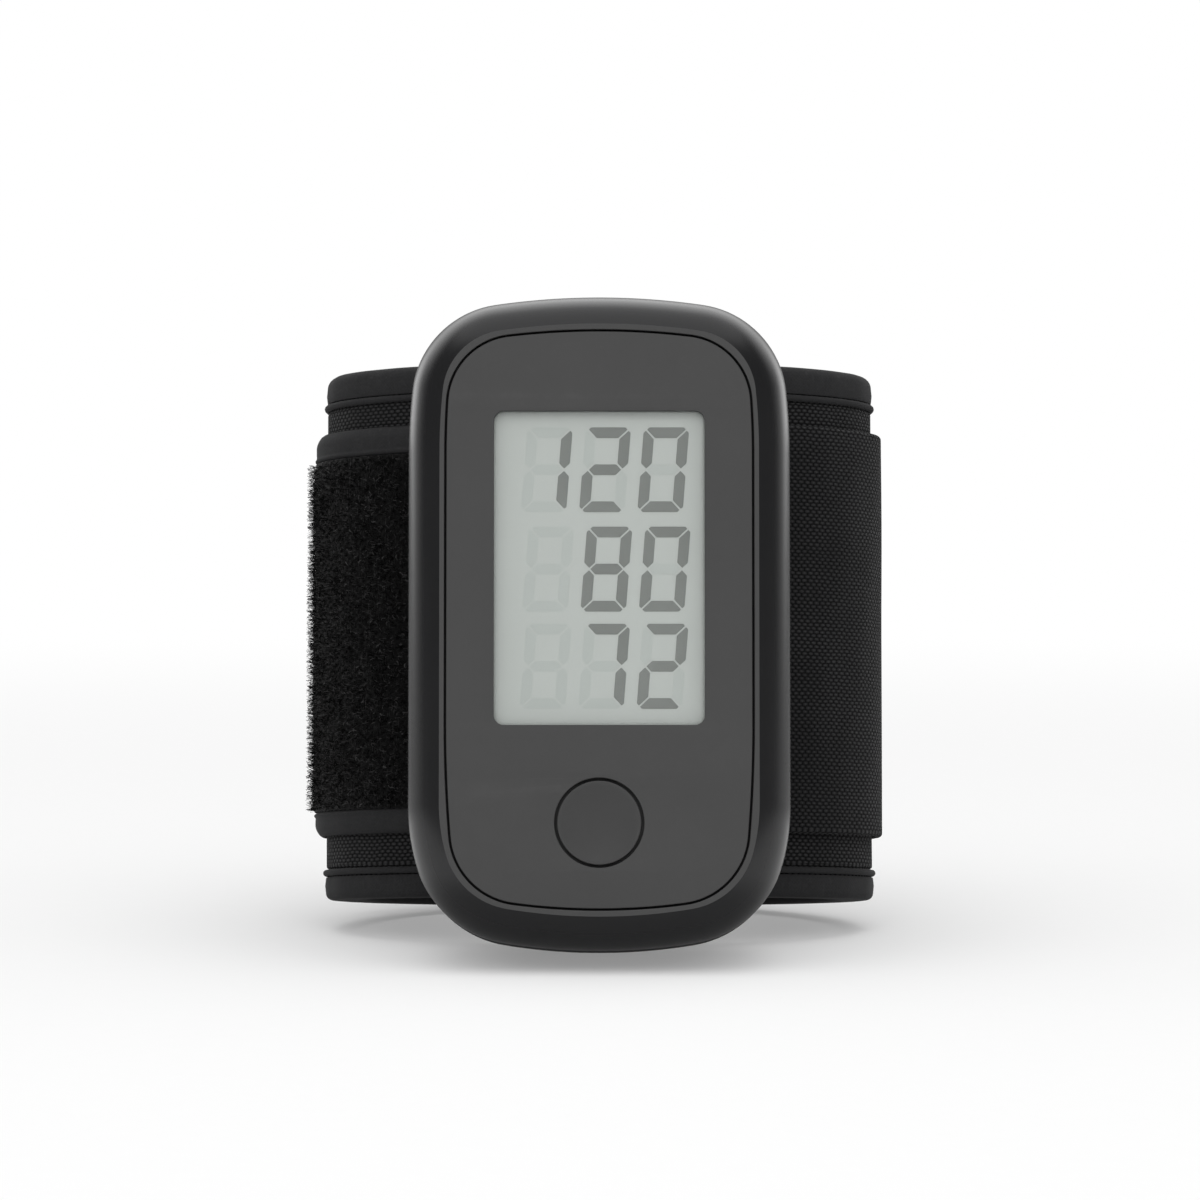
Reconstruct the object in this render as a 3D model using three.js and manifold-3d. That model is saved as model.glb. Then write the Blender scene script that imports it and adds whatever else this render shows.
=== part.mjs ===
// Wrist blood pressure monitor on its cuff, standing as it does on a table.
// Lengths are in millimetres.
// Upright frame: x runs to the right, y from the display face back through the
// wrist, z along the forearm. The finished model leans back on its cuff.

import * as THREE from 'three';
import { mergeVertices } from 'three/addons/utils/BufferGeometryUtils.js';
import Module from 'manifold-3d';

const wasm = await Module();
wasm.setup();

// Clearances shared by all the pieces
const seatGap = 0.3;
const overrun = 1;

// Case outline, seen from the front
const caseEndRoom = 20.9;
const caseCrownRadius = 94;
const caseCornerRadius = 13.2;
const caseSideRadius = 75;
const caseShoulderHeight = 20.55;

// Front shell
const frontShellDepth = 11;
const landWidth = 0.7;
const shoulderDepth = 7;
const frontWall = 2.4;
const ledgeThickness = 1.6;

// Rear shell
const rearRound = 2;
const sideWall = 1.8;
const rearWall = 1.7;

// Front panel and the groove round it
const panelSideMargin = 5.11;
const panelEndMargin = 5.25;
const panelCrownRadius = 92;
const panelCornerRadius = 8.9;
const panelSideRadius = 130;
const panelShoulderHeight = 19.75;
const panelThickness = 1.2;
const panelGroove = 0.3;

// Display
const windowSideMargin = 6.1;
const windowTopMargin = 10.56;
const windowFootMargin = 23.69;
const windowCornerRadius = 1.3;
const lensThickness = 0.8;
const lensRecess = 0.25;
const lensFit = 0.2;
const glassMargin = 1.4;
const glassThickness = 1.1;
const contactLedge = 3.5;
const reflectorThickness = 2.1;
const displayFrameRim = 1.4;
const connectorHeight = 2.2;
const connectorInset = 1;

// Start button and its switch
const buttonFootMargin = 11;
const buttonRadius = 5.4;
const buttonGroove = 0.4;
const buttonDish = 0.35;
const dishShare = 0.75;
const buttonStemRise = 0.1;
const buttonFlangeRadius = 6.6;
const buttonFlangeThickness = 1.1;
const buttonEdgeRound = 0.2;
const buttonTravel = 0.5;
const switchSide = 6;
const switchHeight = 2.7;
const plungerRadius = 1.6;
const plungerLength = 2;
const plungerHeadThickness = 0.4;

// Circuit board
const boardThickness = 1.2;
const boardEdgeGap = 1.2;
const boardScrewHeight = 20;
const boardBossRadius = 1.9;
const boardScrewRadius = 0.7;
const boardScrewHeadRadius = 1.5;
const boardScrewHeadThickness = 0.9;
const boardScrewBite = 2.7;
const sensorSide = 7;
const sensorThickness = 3;
const sensorNippleLength = 2.2;
const sensorAcross = 6.2;
const sensorFootRoom = 13.55;
const buzzerRadius = 5.5;
const buzzerThickness = 2.2;
const buzzerSensorGap = 0.7;
const buzzerFootRoom = 11.05;

// Case screws
const caseScrewSideInset = 6.6;
const caseScrewEndInset = 8.55;
const caseBossRadius = 2.8;
const caseScrewRadius = 1;
const caseScrewHeadRadius = 2;
const caseScrewHeadThickness = 1.2;
const caseScrewSink = 0.5;
const caseScrewBite = 5;
const screwFit = 0.3;

// Battery bay
const batteryRadius = 5.25;
const batteryLength = 43.2;
const batteryNubRadius = 1.9;
const batteryNubLength = 0.8;
const trayWall = 0.8;
const trayDrop = 0.3;
const trayDoorGap = 1;
const trayBoardGap = 2.75;
const springLength = 3.1;
const springBaseRadius = 3.6;
const springTipRadius = 2.2;
const contactSide = 8;
const contactThickness = 0.5;

// Battery door
const doorThickness = 1.6;
const doorSideGap = 0.3;
const doorFootGap = 1.9;
const doorBarrelRadius = 1.1;
const doorPinRadius = 0.6;
const doorPinReach = 0.8;
const doorPinInset = 1.3;
const doorPinDrop = 0.1;
const doorPinFit = 0.25;
const doorGripDepth = 0.6;
const doorGripHeight = 1.2;
const doorGripSpacing = 2.4;

// Air pump, valve and manifold
const pumpRadius = 6.2;
const pumpSideRoom = 4.62;
const pumpManifoldGap = 0.8;
const motorLength = 18;
const pumpHeadLength = 8.7;
const pumpScrewGap = 1.4;
const airStubRadius = 1.2;
const airStubLength = 2.6;
const valveWidth = 8;
const valveHeight = 13;
const valveDepth = 8;
const valveScrewGap = 1.4;
const manifoldSide = 4;
const manifoldHeight = 8;
const manifoldTopDrop = 0.5;
const manifoldTrayGap = 0.5;
const manifoldBehind = 5.5;
const hoseRadius = 1.5;
const hoseLoopRise = 5.9;

// Cuff oval, measured over the woven cover
const cuffHalfWidth = 37.18;
const cuffFrontDepth = 20.8;
const cuffRearDepth = 29;
const cuffStandOff = 1;
const cuffOpening = 8;

// Cuff wall, from the outside in
const coverThickness = 0.8;
const stiffenerThickness = 0.8;
const bladderThickness = 1.9;
const liningThickness = 1.2;
const bindingWidth = 3.75;
const lowerBindingWidth = 3.05;
const bindingRound = 1.5;
const slotDepth = 2.2;
const pipingRadius = 0.42;
const pipingSeat = 0.18;
const bladderMargin = 4.6;
const nippleRadius = 1.7;
const nippleBore = 0.8;
const nippleFit = 0.4;

// Saddle between the case and the cuff
const saddleWidth = 32;
const saddleEndMargin = 2.4;
const saddleUpperGap = 1.7;
const saddleLowerGap = 0.6;
const saddleScrewAcross = 12;
const saddleScrewTrayGap = 0.4;
const saddleScrewRadius = 0.8;
const saddleScrewHeadRadius = 1.7;
const saddleScrewHeadThickness = 1;
const saddleScrewEndGap = 0.4;

// Outer wrap: bound wing with its loop pile, strap and hook patch
const wrapTopMargin = 3.2;
const wrapBottomMargin = 4.3;
const wrapStartGap = 1.5;
const wrapThickness = 1.1;
const wrapStandOff = 0.3;
const wingBindingWidth = 3.3;
const pileThickness = 1.2;
const pileMargin = 0.3;
const pileStartMargin = 1.8;
const hookThickness = 0.6;
const hookMargin = 2.5;
const tabLength = 5;
const tabMargin = 12;
const tabThickness = 1.4;

// Angles round the cuff in degrees, nought at the case, growing to the right
const wingEndAngle = 142;
const pileEndMargin = 4;
const strapHingeAngles = [150, 182, 214];
const strapRiseAngle = 27;
const strapClearAngle = 5;
const hookClearAngle = 1;
const hookAngle = 17;
const bladderAngle = 118;

// Counts of steps round the curves
const crownSteps = 5;
const cornerSteps = 5;
const sideSteps = 2;
const roundSteps = 3;
const ringSteps = 48;
const rodSides = 16;
const smallRodSides = 10;
const hoseSides = 8;
const hoseSteps = 20;
const pipingSides = 6;
const pipingSteps = 46;

// Distances behind the panel face: the switch under the button sets the board,
// and the cells behind the board set the back of the case.
const ledgeFront = panelThickness + seatGap;
const ledgeBack = ledgeFront + ledgeThickness;
const buttonRise = ledgeFront + buttonFlangeThickness + buttonStemRise;
const plungerHeadBack = buttonRise + seatGap + plungerHeadThickness;
const switchFront = plungerHeadBack + buttonTravel + seatGap;
const switchBack = switchFront + switchHeight;
const boardFront = switchBack + seatGap;
const boardBack = boardFront + boardThickness;
const trayFront = boardBack + trayBoardGap;
const batteryDepth = trayFront + trayWall + seatGap + batteryRadius;
const trayBack = batteryDepth + batteryRadius + seatGap * 1.5 + trayWall;
const rearWallFace = trayBack + seatGap;
const caseBack = rearWallFace + rearWall;
const rearShellFront = frontShellDepth + seatGap;
const pumpDepth = rearWallFace - seatGap - pumpRadius;
const cuffNose = caseBack + cuffStandOff;
const cuffCentre = cuffNose + cuffFrontDepth;

// Widths: the pump, the manifold and the two cells lie side by side in the case.
const batterySpacing = batteryRadius * 2 + seatGap;
const trayWidth = trayWall + seatGap * 2 + batteryRadius * 2 + batterySpacing;
const inletWidth = pumpRadius * 2 + pumpManifoldGap + manifoldSide + manifoldTrayGap;
const caseWidth = sideWall * 2 + pumpSideRoom + inletWidth + trayWidth + trayDoorGap;
const trayOpenSide = caseWidth / 2 - sideWall - trayDoorGap;
const manifoldAcross = -(trayOpenSide - trayWidth - manifoldTrayGap - manifoldSide / 2);
const pumpAcross = manifoldAcross + manifoldSide / 2 + pumpManifoldGap + pumpRadius;
const caseScrewAcross = caseWidth / 2 - caseScrewSideInset;

// Heights: the case is the cells with the room at each end of them.
const caseHeight = batteryLength + caseEndRoom * 2;
const caseStraightHalf = caseHeight / 2 - caseShoulderHeight;
const caseScrewHeight = caseHeight / 2 - caseScrewEndInset;
const sensorDrop = caseHeight / 2 - sensorFootRoom;
const buzzerDrop = caseHeight / 2 - buzzerFootRoom;
const buzzerAcross = sensorSide / 2 + buzzerSensorGap + buzzerRadius - sensorAcross;
const trayLength = batteryLength + batteryNubLength + springLength + contactThickness
  + seatGap * 4;
const trayTop = trayLength / 2 - trayDrop + trayWall;
const trayFoot = -trayLength / 2 - trayDrop - trayWall;
const doorTopHeight = trayTop - seatGap;
const doorPinX = caseWidth / 2 - doorPinInset;
const doorPinZ = trayFoot - doorPinDrop;
const saddleScrewHeight = -trayFoot + saddleScrewTrayGap + saddleScrewHeadRadius;
const saddleHeight = (saddleScrewHeight + saddleEndMargin) * 2;
const screwSpan = saddleScrewHeight - saddleScrewHeadRadius;
const pumpTop = screwSpan - pumpScrewGap;
const motorTop = pumpTop - pumpHeadLength - seatGap;
const valveTop = valveScrewGap + valveHeight - screwSpan;
const manifoldTop = valveTop - manifoldTopDrop;
const manifoldMiddle = manifoldTop - manifoldHeight / 2;

// Panel, window and button, each from the edge of the one round it
const shoulderWidth = panelSideMargin - panelGroove - landWidth;
const panelWidth = caseWidth - panelSideMargin * 2;
const panelHeight = caseHeight - panelEndMargin * 2;
const panelStraightHalf = panelHeight / 2 - panelShoulderHeight;
const windowWidth = panelWidth - windowSideMargin * 2;
const windowHeight = panelHeight - windowTopMargin - windowFootMargin;
const windowCentreHeight = (windowFootMargin - windowTopMargin) / 2;
const glassWidth = windowWidth + glassMargin * 2;
const glassHeight = windowHeight + glassMargin * 2;
const boardScrewAcross = glassWidth / 2 + displayFrameRim + seatGap * 2 + boardBossRadius;
const buttonCentreDrop = panelHeight / 2 - buttonFootMargin;

// The cuff stands past the saddle at each end, and the wrap lies inside the cuff's seams.
const coverTop = saddleHeight / 2 + saddleUpperGap;
const coverBottom = -saddleHeight / 2 - saddleLowerGap;
const pipingHeight = coverTop + pipingSeat + pipingRadius;
const lowerPipingHeight = coverBottom - pipingSeat - pipingRadius;
const bindingStart = pipingHeight + pipingRadius + pipingSeat;
const lowerBindingStart = lowerPipingHeight - pipingRadius - pipingSeat;
const cuffTop = bindingStart + bindingWidth;
const cuffBottom = -lowerBindingStart + lowerBindingWidth;
const wrapTop = coverTop - wrapTopMargin;
const wrapBottom = -coverBottom - wrapBottomMargin;
const stiffenerOuter = -coverThickness - seatGap;
const stiffenerInner = stiffenerOuter - stiffenerThickness;
const bladderOuter = stiffenerInner - seatGap;
const bladderInner = bladderOuter - bladderThickness;
const liningOuter = bladderInner - seatGap;
const liningInner = liningOuter - liningThickness;
const wrapOuter = wrapStandOff + wrapThickness;
const pileInner = wrapOuter + seatGap;
const pileOuter = pileInner + pileThickness;
const hookInner = pileOuter + seatGap;
const strapLifted = hookInner + hookThickness + seatGap;

function degrees(angle) {
  return THREE.MathUtils.degToRad(angle);
}

// Turns any closed geometry into a joined solid whose faces point outwards.
function solid(geometry) {
  const bare = geometry.clone();
  bare.deleteAttribute('normal');
  bare.deleteAttribute('uv');
  const merged = mergeVertices(bare);
  const triangles = Uint32Array.from(merged.index.array);
  const points = merged.attributes.position.array;
  if (signedVolume(points, triangles) < 0) triangles.reverse();
  return new wasm.Manifold(new wasm.Mesh({
    numProp: 3,
    vertProperties: Float32Array.from(points),
    triVerts: triangles,
  }));
}

function signedVolume(points, triangles) {
  const corner = (i) => new THREE.Vector3().fromArray(points, triangles[i] * 3);
  let volume = 0;
  for (let i = 0; i < triangles.length; i += 3) {
    volume += corner(i).dot(corner(i + 1).cross(corner(i + 2)));
  }
  return volume;
}

function geometryOf(shape) {
  const mesh = shape.getMesh();
  const geometry = new THREE.BufferGeometry();
  geometry.setAttribute('position', new THREE.Float32BufferAttribute(mesh.vertProperties, 3));
  geometry.setIndex(Array.from(mesh.triVerts));
  geometry.computeVertexNormals();
  return geometry;
}

function joined(base, ...others) {
  return others.reduce((whole, other) => whole.add(other), base);
}

function cut(base, ...tools) {
  return tools.reduce((whole, tool) => whole.subtract(tool), base);
}

function block(x, y, z) {
  const geometry = new THREE.BoxGeometry(x[1] - x[0], y[1] - y[0], z[1] - z[0]);
  geometry.translate((x[0] + x[1]) / 2, (y[0] + y[1]) / 2, (z[0] + z[1]) / 2);
  return solid(geometry);
}

// A round rod along y, at (x, z).
function depthRod(radius, y, x, z, sides = rodSides) {
  const geometry = new THREE.CylinderGeometry(radius, radius, y[1] - y[0], sides);
  geometry.translate(x, (y[0] + y[1]) / 2, z);
  return solid(geometry);
}

// A round rod along z, at (x, y).
function uprightRod(radius, z, x, y, sides = rodSides) {
  const geometry = new THREE.CylinderGeometry(radius, radius, z[1] - z[0], sides);
  geometry.rotateX(Math.PI / 2);
  geometry.translate(x, y, (z[0] + z[1]) / 2);
  return solid(geometry);
}

// A round rod along x, at (y, z).
function crossRod(radius, x, y, z, sides = rodSides) {
  const geometry = new THREE.CylinderGeometry(radius, radius, x[1] - x[0], sides);
  geometry.rotateZ(Math.PI / 2);
  geometry.translate((x[0] + x[1]) / 2, y, z);
  return solid(geometry);
}

// A turned piece about y, from a profile of [radius, depth] pairs.
function turned(profile, x, z, sides = rodSides) {
  const points = profile.map(([radius, y]) => new THREE.Vector2(radius, y));
  const geometry = new THREE.LatheGeometry(points, sides);
  geometry.translate(x, 0, z);
  return solid(geometry);
}

function arcPoints(centre, radius, from, to, steps) {
  const points = [];
  for (let i = 0; i <= steps; i += 1) {
    const angle = from + ((to - from) * i) / steps;
    const reach = new THREE.Vector2(Math.cos(angle), Math.sin(angle));
    points.push(reach.multiplyScalar(radius).add(centre));
  }
  return points;
}

// The circle that touches the crown arc and the side arc from the inside.
function cornerCentreOf(size, crownCentre, sideCentre) {
  const toCrown = size.crown - size.corner;
  const toSide = size.side - size.corner;
  const across = sideCentre.clone().sub(crownCentre);
  const span = across.length();
  const along = (toCrown ** 2 - toSide ** 2 + span ** 2) / (2 * span);
  const offset = Math.sqrt(toCrown ** 2 - along ** 2);
  const unit = across.normalize();
  const square = new THREE.Vector2(unit.y, -unit.x);
  return crownCentre.clone().addScaledVector(unit, along).addScaledVector(square, offset);
}

// A tall outline with crowned ends, round corners and nearly straight sides.
function tallOutline(size) {
  const crownCentre = new THREE.Vector2(0, size.halfHeight - size.crown);
  const sideCentre = new THREE.Vector2(size.halfWidth - size.side, size.straight);
  const cornerCentre = cornerCentreOf(size, crownCentre, sideCentre);
  const sideEnd = cornerCentre.clone().sub(sideCentre).angle();
  const crownEnd = cornerCentre.clone().sub(crownCentre).angle();
  const rightSide = arcPoints(sideCentre, size.side, 0, sideEnd, sideSteps);
  const rightCorner = arcPoints(cornerCentre, size.corner, sideEnd, crownEnd, cornerSteps);
  const crown = arcPoints(crownCentre, size.crown, crownEnd, Math.PI - crownEnd, crownSteps);
  const right = [...rightSide, ...rightCorner.slice(1)];
  const left = right.map((p) => new THREE.Vector2(-p.x, p.y)).reverse();
  const upper = [...right, ...crown.slice(1, -1), ...left];
  const lower = upper.map((p) => new THREE.Vector2(p.x, -p.y)).reverse();
  return new THREE.Shape([...upper, ...lower]);
}

function caseOutline(inset) {
  return tallOutline({
    halfWidth: caseWidth / 2 - inset,
    halfHeight: caseHeight / 2 - inset,
    crown: caseCrownRadius - inset,
    corner: caseCornerRadius - inset,
    side: caseSideRadius - inset,
    straight: caseStraightHalf,
  });
}

function panelOutline(outset) {
  return tallOutline({
    halfWidth: panelWidth / 2 + outset,
    halfHeight: panelHeight / 2 + outset,
    crown: panelCrownRadius + outset,
    corner: panelCornerRadius + outset,
    side: panelSideRadius + outset,
    straight: panelStraightHalf,
  });
}

function roundedRectangle(width, height, radius, centreHeight) {
  const x = width / 2 - radius;
  const z = height / 2 - radius;
  const centres = [[x, z], [-x, z], [-x, -z], [x, -z]];
  const points = centres.flatMap(([cx, cz], quarter) => arcPoints(
    new THREE.Vector2(cx, cz + centreHeight),
    radius,
    (quarter * Math.PI) / 2,
    ((quarter + 1) * Math.PI) / 2,
    roundSteps,
  ));
  return new THREE.Shape(points);
}

// Extrudes an outline drawn in x and z between two depths.
function slab(shape, front, back) {
  const geometry = new THREE.ExtrudeGeometry(shape, { depth: back - front, bevelEnabled: false });
  geometry.rotateX(Math.PI / 2);
  geometry.translate(0, back, 0);
  return solid(geometry);
}

// The same slab, with both its ends rounded over.
function roundedSlab(shape, front, back, width, depth) {
  const geometry = new THREE.ExtrudeGeometry(shape, {
    depth: back - front - depth * 2,
    bevelSize: width,
    bevelOffset: -width,
    bevelThickness: depth,
    bevelSegments: roundSteps,
  });
  geometry.rotateX(Math.PI / 2);
  geometry.translate(0, back - depth, 0);
  return solid(geometry);
}

function halfSpace(front, back) {
  const reach = caseHeight;
  return block([-reach, reach], [front, back], [-reach, reach]);
}

function screw(radius, headRadius, headDepths, tip, x, z) {
  const [near, far] = headDepths;
  const profile = [[0, near], [headRadius, near], [headRadius, far], [radius, far]];
  return turned([...profile, [radius, tip], [0, tip]], x, z, smallRodSides);
}

// Points on the cuff oval, moved out along its normal.
function cuffPoint(angle, offset) {
  const turn = degrees(angle);
  const depth = Math.cos(turn) > 0 ? cuffFrontDepth : cuffRearDepth;
  const x = cuffHalfWidth * Math.sin(turn);
  const y = -depth * Math.cos(turn);
  const normal = new THREE.Vector2(x / cuffHalfWidth ** 2, y / depth ** 2).normalize();
  return new THREE.Vector2(x, y + cuffCentre).addScaledVector(normal, offset);
}

// Degrees round the oval that a short length takes up at an angle.
function angleOfLength(angle, length) {
  const step = 1;
  const ahead = cuffPoint(angle + step, 0);
  const behind = cuffPoint(angle - step, 0);
  return (length * step * 2) / ahead.distanceTo(behind);
}

// A strip of cuff material between two offsets, over a range of angles.
// Each offset is a length or a function that gives it from the angle.
function cuffStrip(inner, outer, from, to) {
  const steps = Math.max(2, Math.round((ringSteps * (to - from)) / 360));
  const offsetAt = (offset, angle) => (typeof offset === 'function' ? offset(angle) : offset);
  const outside = [];
  const inside = [];
  for (let i = 0; i <= steps; i += 1) {
    const angle = from + ((to - from) * i) / steps;
    outside.push(cuffPoint(angle, offsetAt(outer, angle)));
    inside.push(cuffPoint(angle, offsetAt(inner, angle)));
  }
  return new THREE.Shape([...outside, ...inside.reverse()]);
}

function upright(shape, bottom, top) {
  const geometry = new THREE.ExtrudeGeometry(shape, { depth: top - bottom, bevelEnabled: false });
  geometry.translate(0, 0, bottom);
  return solid(geometry);
}

const cuffEndAngle = 180 - angleOfLength(180, cuffOpening / 2);
const seatAngle = angleOfLength(180, cuffOpening / 4);
const saddleReachAngle = THREE.MathUtils.radToDeg(Math.asin(saddleWidth / 2 / cuffHalfWidth));
const wrapStartAngle = saddleReachAngle + angleOfLength(saddleReachAngle, wrapStartGap);
const pileStartAngle = wrapStartAngle + angleOfLength(wrapStartAngle, pileStartMargin);
const pileEndAngle = wingEndAngle - pileEndMargin;
const strapRiseEnd = 360 - wingEndAngle - strapClearAngle;
const strapRiseStart = strapRiseEnd - strapRiseAngle;
const hookStartAngle = 360 - pileEndAngle - hookClearAngle;
const strapEndAngle = hookStartAngle + hookAngle;

function cuffBand(inner, outer, bottom, top) {
  return upright(cuffStrip(inner, outer, -cuffEndAngle, cuffEndAngle), bottom, top);
}

// Bound edge of the cuff: rounded on its free side, slotted for the stiffener.
function cuffBinding(start, end) {
  const low = Math.min(start, end);
  const high = Math.max(start, end);
  const side = Math.sign(end - start);
  const full = cuffStrip(liningInner, 0, -cuffEndAngle, cuffEndAngle);
  const geometry = new THREE.ExtrudeGeometry(full, {
    depth: high - low,
    bevelSize: bindingRound,
    bevelOffset: -bindingRound,
    bevelThickness: bindingRound,
    bevelSegments: roundSteps,
  });
  geometry.translate(0, 0, low - side * bindingRound);
  const reach = cuffHalfWidth * 2;
  const behind = [start - side * bindingRound * 2, start].sort((a, b) => a - b);
  const trim = block([-reach, reach], [0, reach * 2], behind);
  const slotEnds = [start - side * overrun, start + side * slotDepth].sort((a, b) => a - b);
  const slotOuter = stiffenerOuter + seatGap;
  const slotInner = stiffenerInner - seatGap;
  const slotShape = cuffStrip(slotInner, slotOuter, -180 + seatAngle, 180 - seatAngle);
  return cut(solid(geometry), trim, upright(slotShape, slotEnds[0], slotEnds[1]));
}

function cuffPiping(height) {
  const points = [];
  for (let i = 0; i <= pipingSteps; i += 1) {
    const angle = -cuffEndAngle + (2 * cuffEndAngle * i) / pipingSteps;
    const place = cuffPoint(angle, 0);
    points.push(new THREE.Vector3(place.x, place.y, height));
  }
  return tube(points, pipingRadius, pipingSides, pipingSteps);
}

function tube(points, radius, sides, steps) {
  const section = new THREE.Shape(arcPoints(new THREE.Vector2(), radius, 0, 2 * Math.PI, sides)
    .slice(0, -1));
  return solid(new THREE.ExtrudeGeometry(section, {
    steps,
    bevelEnabled: false,
    extrudePath: new THREE.CatmullRomCurve3(points),
  }));
}

// Materials, one for each kind of surface
const looks = {
  grey: { color: 0x4d4d4d, roughness: 0.55, metalness: 0 },
  darkGrey: { color: 0x2d2d2e, roughness: 0.45, metalness: 0 },
  clear: { color: 0xf2f4f2, roughness: 0.05, metalness: 0 },
  lcd: { color: 0xb2b7b3, roughness: 0.3, metalness: 0 },
  white: { color: 0xe4e4e0, roughness: 0.5, metalness: 0 },
  board: { color: 0x1d5a36, roughness: 0.5, metalness: 0 },
  steel: { color: 0xb4b6b8, roughness: 0.35, metalness: 1 },
  cell: { color: 0x3c4a5e, roughness: 0.35, metalness: 0.4 },
  black: { color: 0x161616, roughness: 0.5, metalness: 0 },
  rubber: { color: 0x2a2a2a, roughness: 0.8, metalness: 0 },
  weave: { color: 0x1f1f20, roughness: 0.95, metalness: 0 },
  binding: { color: 0x2b2b2c, roughness: 0.9, metalness: 0 },
  pile: { color: 0x0e0e0f, roughness: 1, metalness: 0 },
  film: { color: 0xc9c6bd, roughness: 0.4, metalness: 0 },
};

function piece(name, shape, look) {
  const material = new THREE.MeshStandardMaterial(looks[look]);
  const mesh = new THREE.Mesh(geometryOf(shape), material);
  mesh.name = name;
  return mesh;
}

const sides = [-1, 1];
const corners = sides.flatMap((side) => sides.map((end) => [side, end]));

function frontShell() {
  const shell = roundedSlab(
    caseOutline(0),
    0,
    frontShellDepth + shoulderDepth,
    shoulderWidth,
    shoulderDepth,
  );
  const hollow = cut(
    shell,
    halfSpace(frontShellDepth, frontShellDepth + shoulderDepth * 2),
    slab(panelOutline(panelGroove), -overrun, ledgeFront),
    slab(caseOutline(frontWall), ledgeBack, frontShellDepth + overrun),
    slab(glassOutline(seatGap), 0, ledgeBack + overrun),
    depthRod(buttonFlangeRadius + seatGap, [0, ledgeBack + overrun], 0, -buttonCentreDrop),
  );
  const bosses = corners.map(([x, z]) => depthRod(
    caseBossRadius,
    [ledgeBack - overrun / 2, frontShellDepth],
    x * caseScrewAcross,
    z * caseScrewHeight,
  ));
  const boardBosses = corners.map(([x, z]) => depthRod(
    boardBossRadius,
    [ledgeBack - overrun / 2, boardFront - seatGap],
    x * boardScrewAcross,
    z * boardScrewHeight,
    smallRodSides,
  ));
  const caseHoles = corners.map(([x, z]) => depthRod(
    caseScrewRadius + screwFit,
    [frontShellDepth - caseScrewBite - seatGap, frontShellDepth + overrun],
    x * caseScrewAcross,
    z * caseScrewHeight,
    smallRodSides,
  ));
  const boardHoles = corners.map(([x, z]) => depthRod(
    boardScrewRadius + screwFit,
    [boardFront - boardScrewBite - seatGap, boardFront],
    x * boardScrewAcross,
    z * boardScrewHeight,
    smallRodSides,
  ));
  const socket = depthRod(
    doorPinRadius + doorPinFit,
    [frontShellDepth - doorPinReach - seatGap, frontShellDepth + overrun],
    doorPinX,
    doorPinZ,
    smallRodSides,
  );
  return cut(joined(hollow, ...bosses, ...boardBosses), ...caseHoles, ...boardHoles, socket);
}

function glassOutline(outset) {
  return roundedRectangle(
    glassWidth + outset * 2,
    glassHeight + outset * 2,
    windowCornerRadius + outset,
    windowCentreHeight,
  );
}

function windowOutline(inset) {
  return roundedRectangle(
    windowWidth - inset * 2,
    windowHeight - inset * 2,
    windowCornerRadius - inset,
    windowCentreHeight,
  );
}

function frontPanel() {
  return cut(
    slab(panelOutline(0), 0, panelThickness),
    slab(windowOutline(0), -overrun, panelThickness + overrun),
    depthRod(
      buttonRadius + buttonGroove,
      [-overrun, panelThickness + overrun],
      0,
      -buttonCentreDrop,
      ringSteps / 2,
    ),
  );
}

function displayPieces() {
  const middle = windowCentreHeight;
  const rearFront = ledgeFront + glassThickness + seatGap;
  const rearBack = rearFront + glassThickness;
  const rearHalf = glassHeight / 2 - contactLedge;
  const glassHalf = glassWidth / 2;
  const slimHalf = glassHalf - connectorInset;
  const frameFront = ledgeBack + seatGap;
  const frameOuter = roundedRectangle(
    glassWidth + (displayFrameRim + seatGap) * 2,
    glassHeight + (displayFrameRim + seatGap) * 2,
    windowCornerRadius + seatGap,
    middle,
  );
  const connectorAt = (end) => {
    const edge = middle + end * (glassHeight / 2 - seatGap);
    const z = [edge, edge - end * connectorHeight].sort((a, b) => a - b);
    return block([-slimHalf, slimHalf], [ledgeFront + glassThickness + seatGap,
      boardFront - seatGap], z);
  };
  return [
    piece('display_lens', slab(windowOutline(lensFit), lensRecess,
      lensRecess + lensThickness), 'clear'),
    piece('lcd_front_glass', slab(glassOutline(0), ledgeFront,
      ledgeFront + glassThickness), 'lcd'),
    piece('lcd_rear_glass', block([-glassHalf, glassHalf], [rearFront, rearBack],
      [middle - rearHalf, middle + rearHalf]), 'lcd'),
    piece('lcd_reflector', block([-slimHalf, slimHalf],
      [rearBack + seatGap, rearBack + seatGap + reflectorThickness],
      [middle - rearHalf, middle + rearHalf]), 'white'),
    piece('lcd_frame', cut(
      slab(frameOuter, frameFront, boardFront - seatGap),
      slab(glassOutline(seatGap), frameFront - overrun, boardFront + overrun),
    ), 'white'),
    piece('lcd_connector_upper', connectorAt(1), 'rubber'),
    piece('lcd_connector_lower', connectorAt(-1), 'rubber'),
  ];
}

function startButton() {
  const flangeFront = ledgeFront;
  const flangeBack = flangeFront + buttonFlangeThickness;
  const profile = [
    [0, buttonDish],
    [buttonRadius / 2, buttonDish * dishShare],
    [buttonRadius - buttonEdgeRound, 0],
    [buttonRadius, buttonEdgeRound],
    [buttonRadius, flangeFront],
    [buttonFlangeRadius, flangeFront],
    [buttonFlangeRadius, flangeBack],
    [plungerRadius, flangeBack],
    [plungerRadius, buttonRise],
    [0, buttonRise],
  ];
  return turned(profile, 0, -buttonCentreDrop, ringSteps / 2);
}

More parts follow.
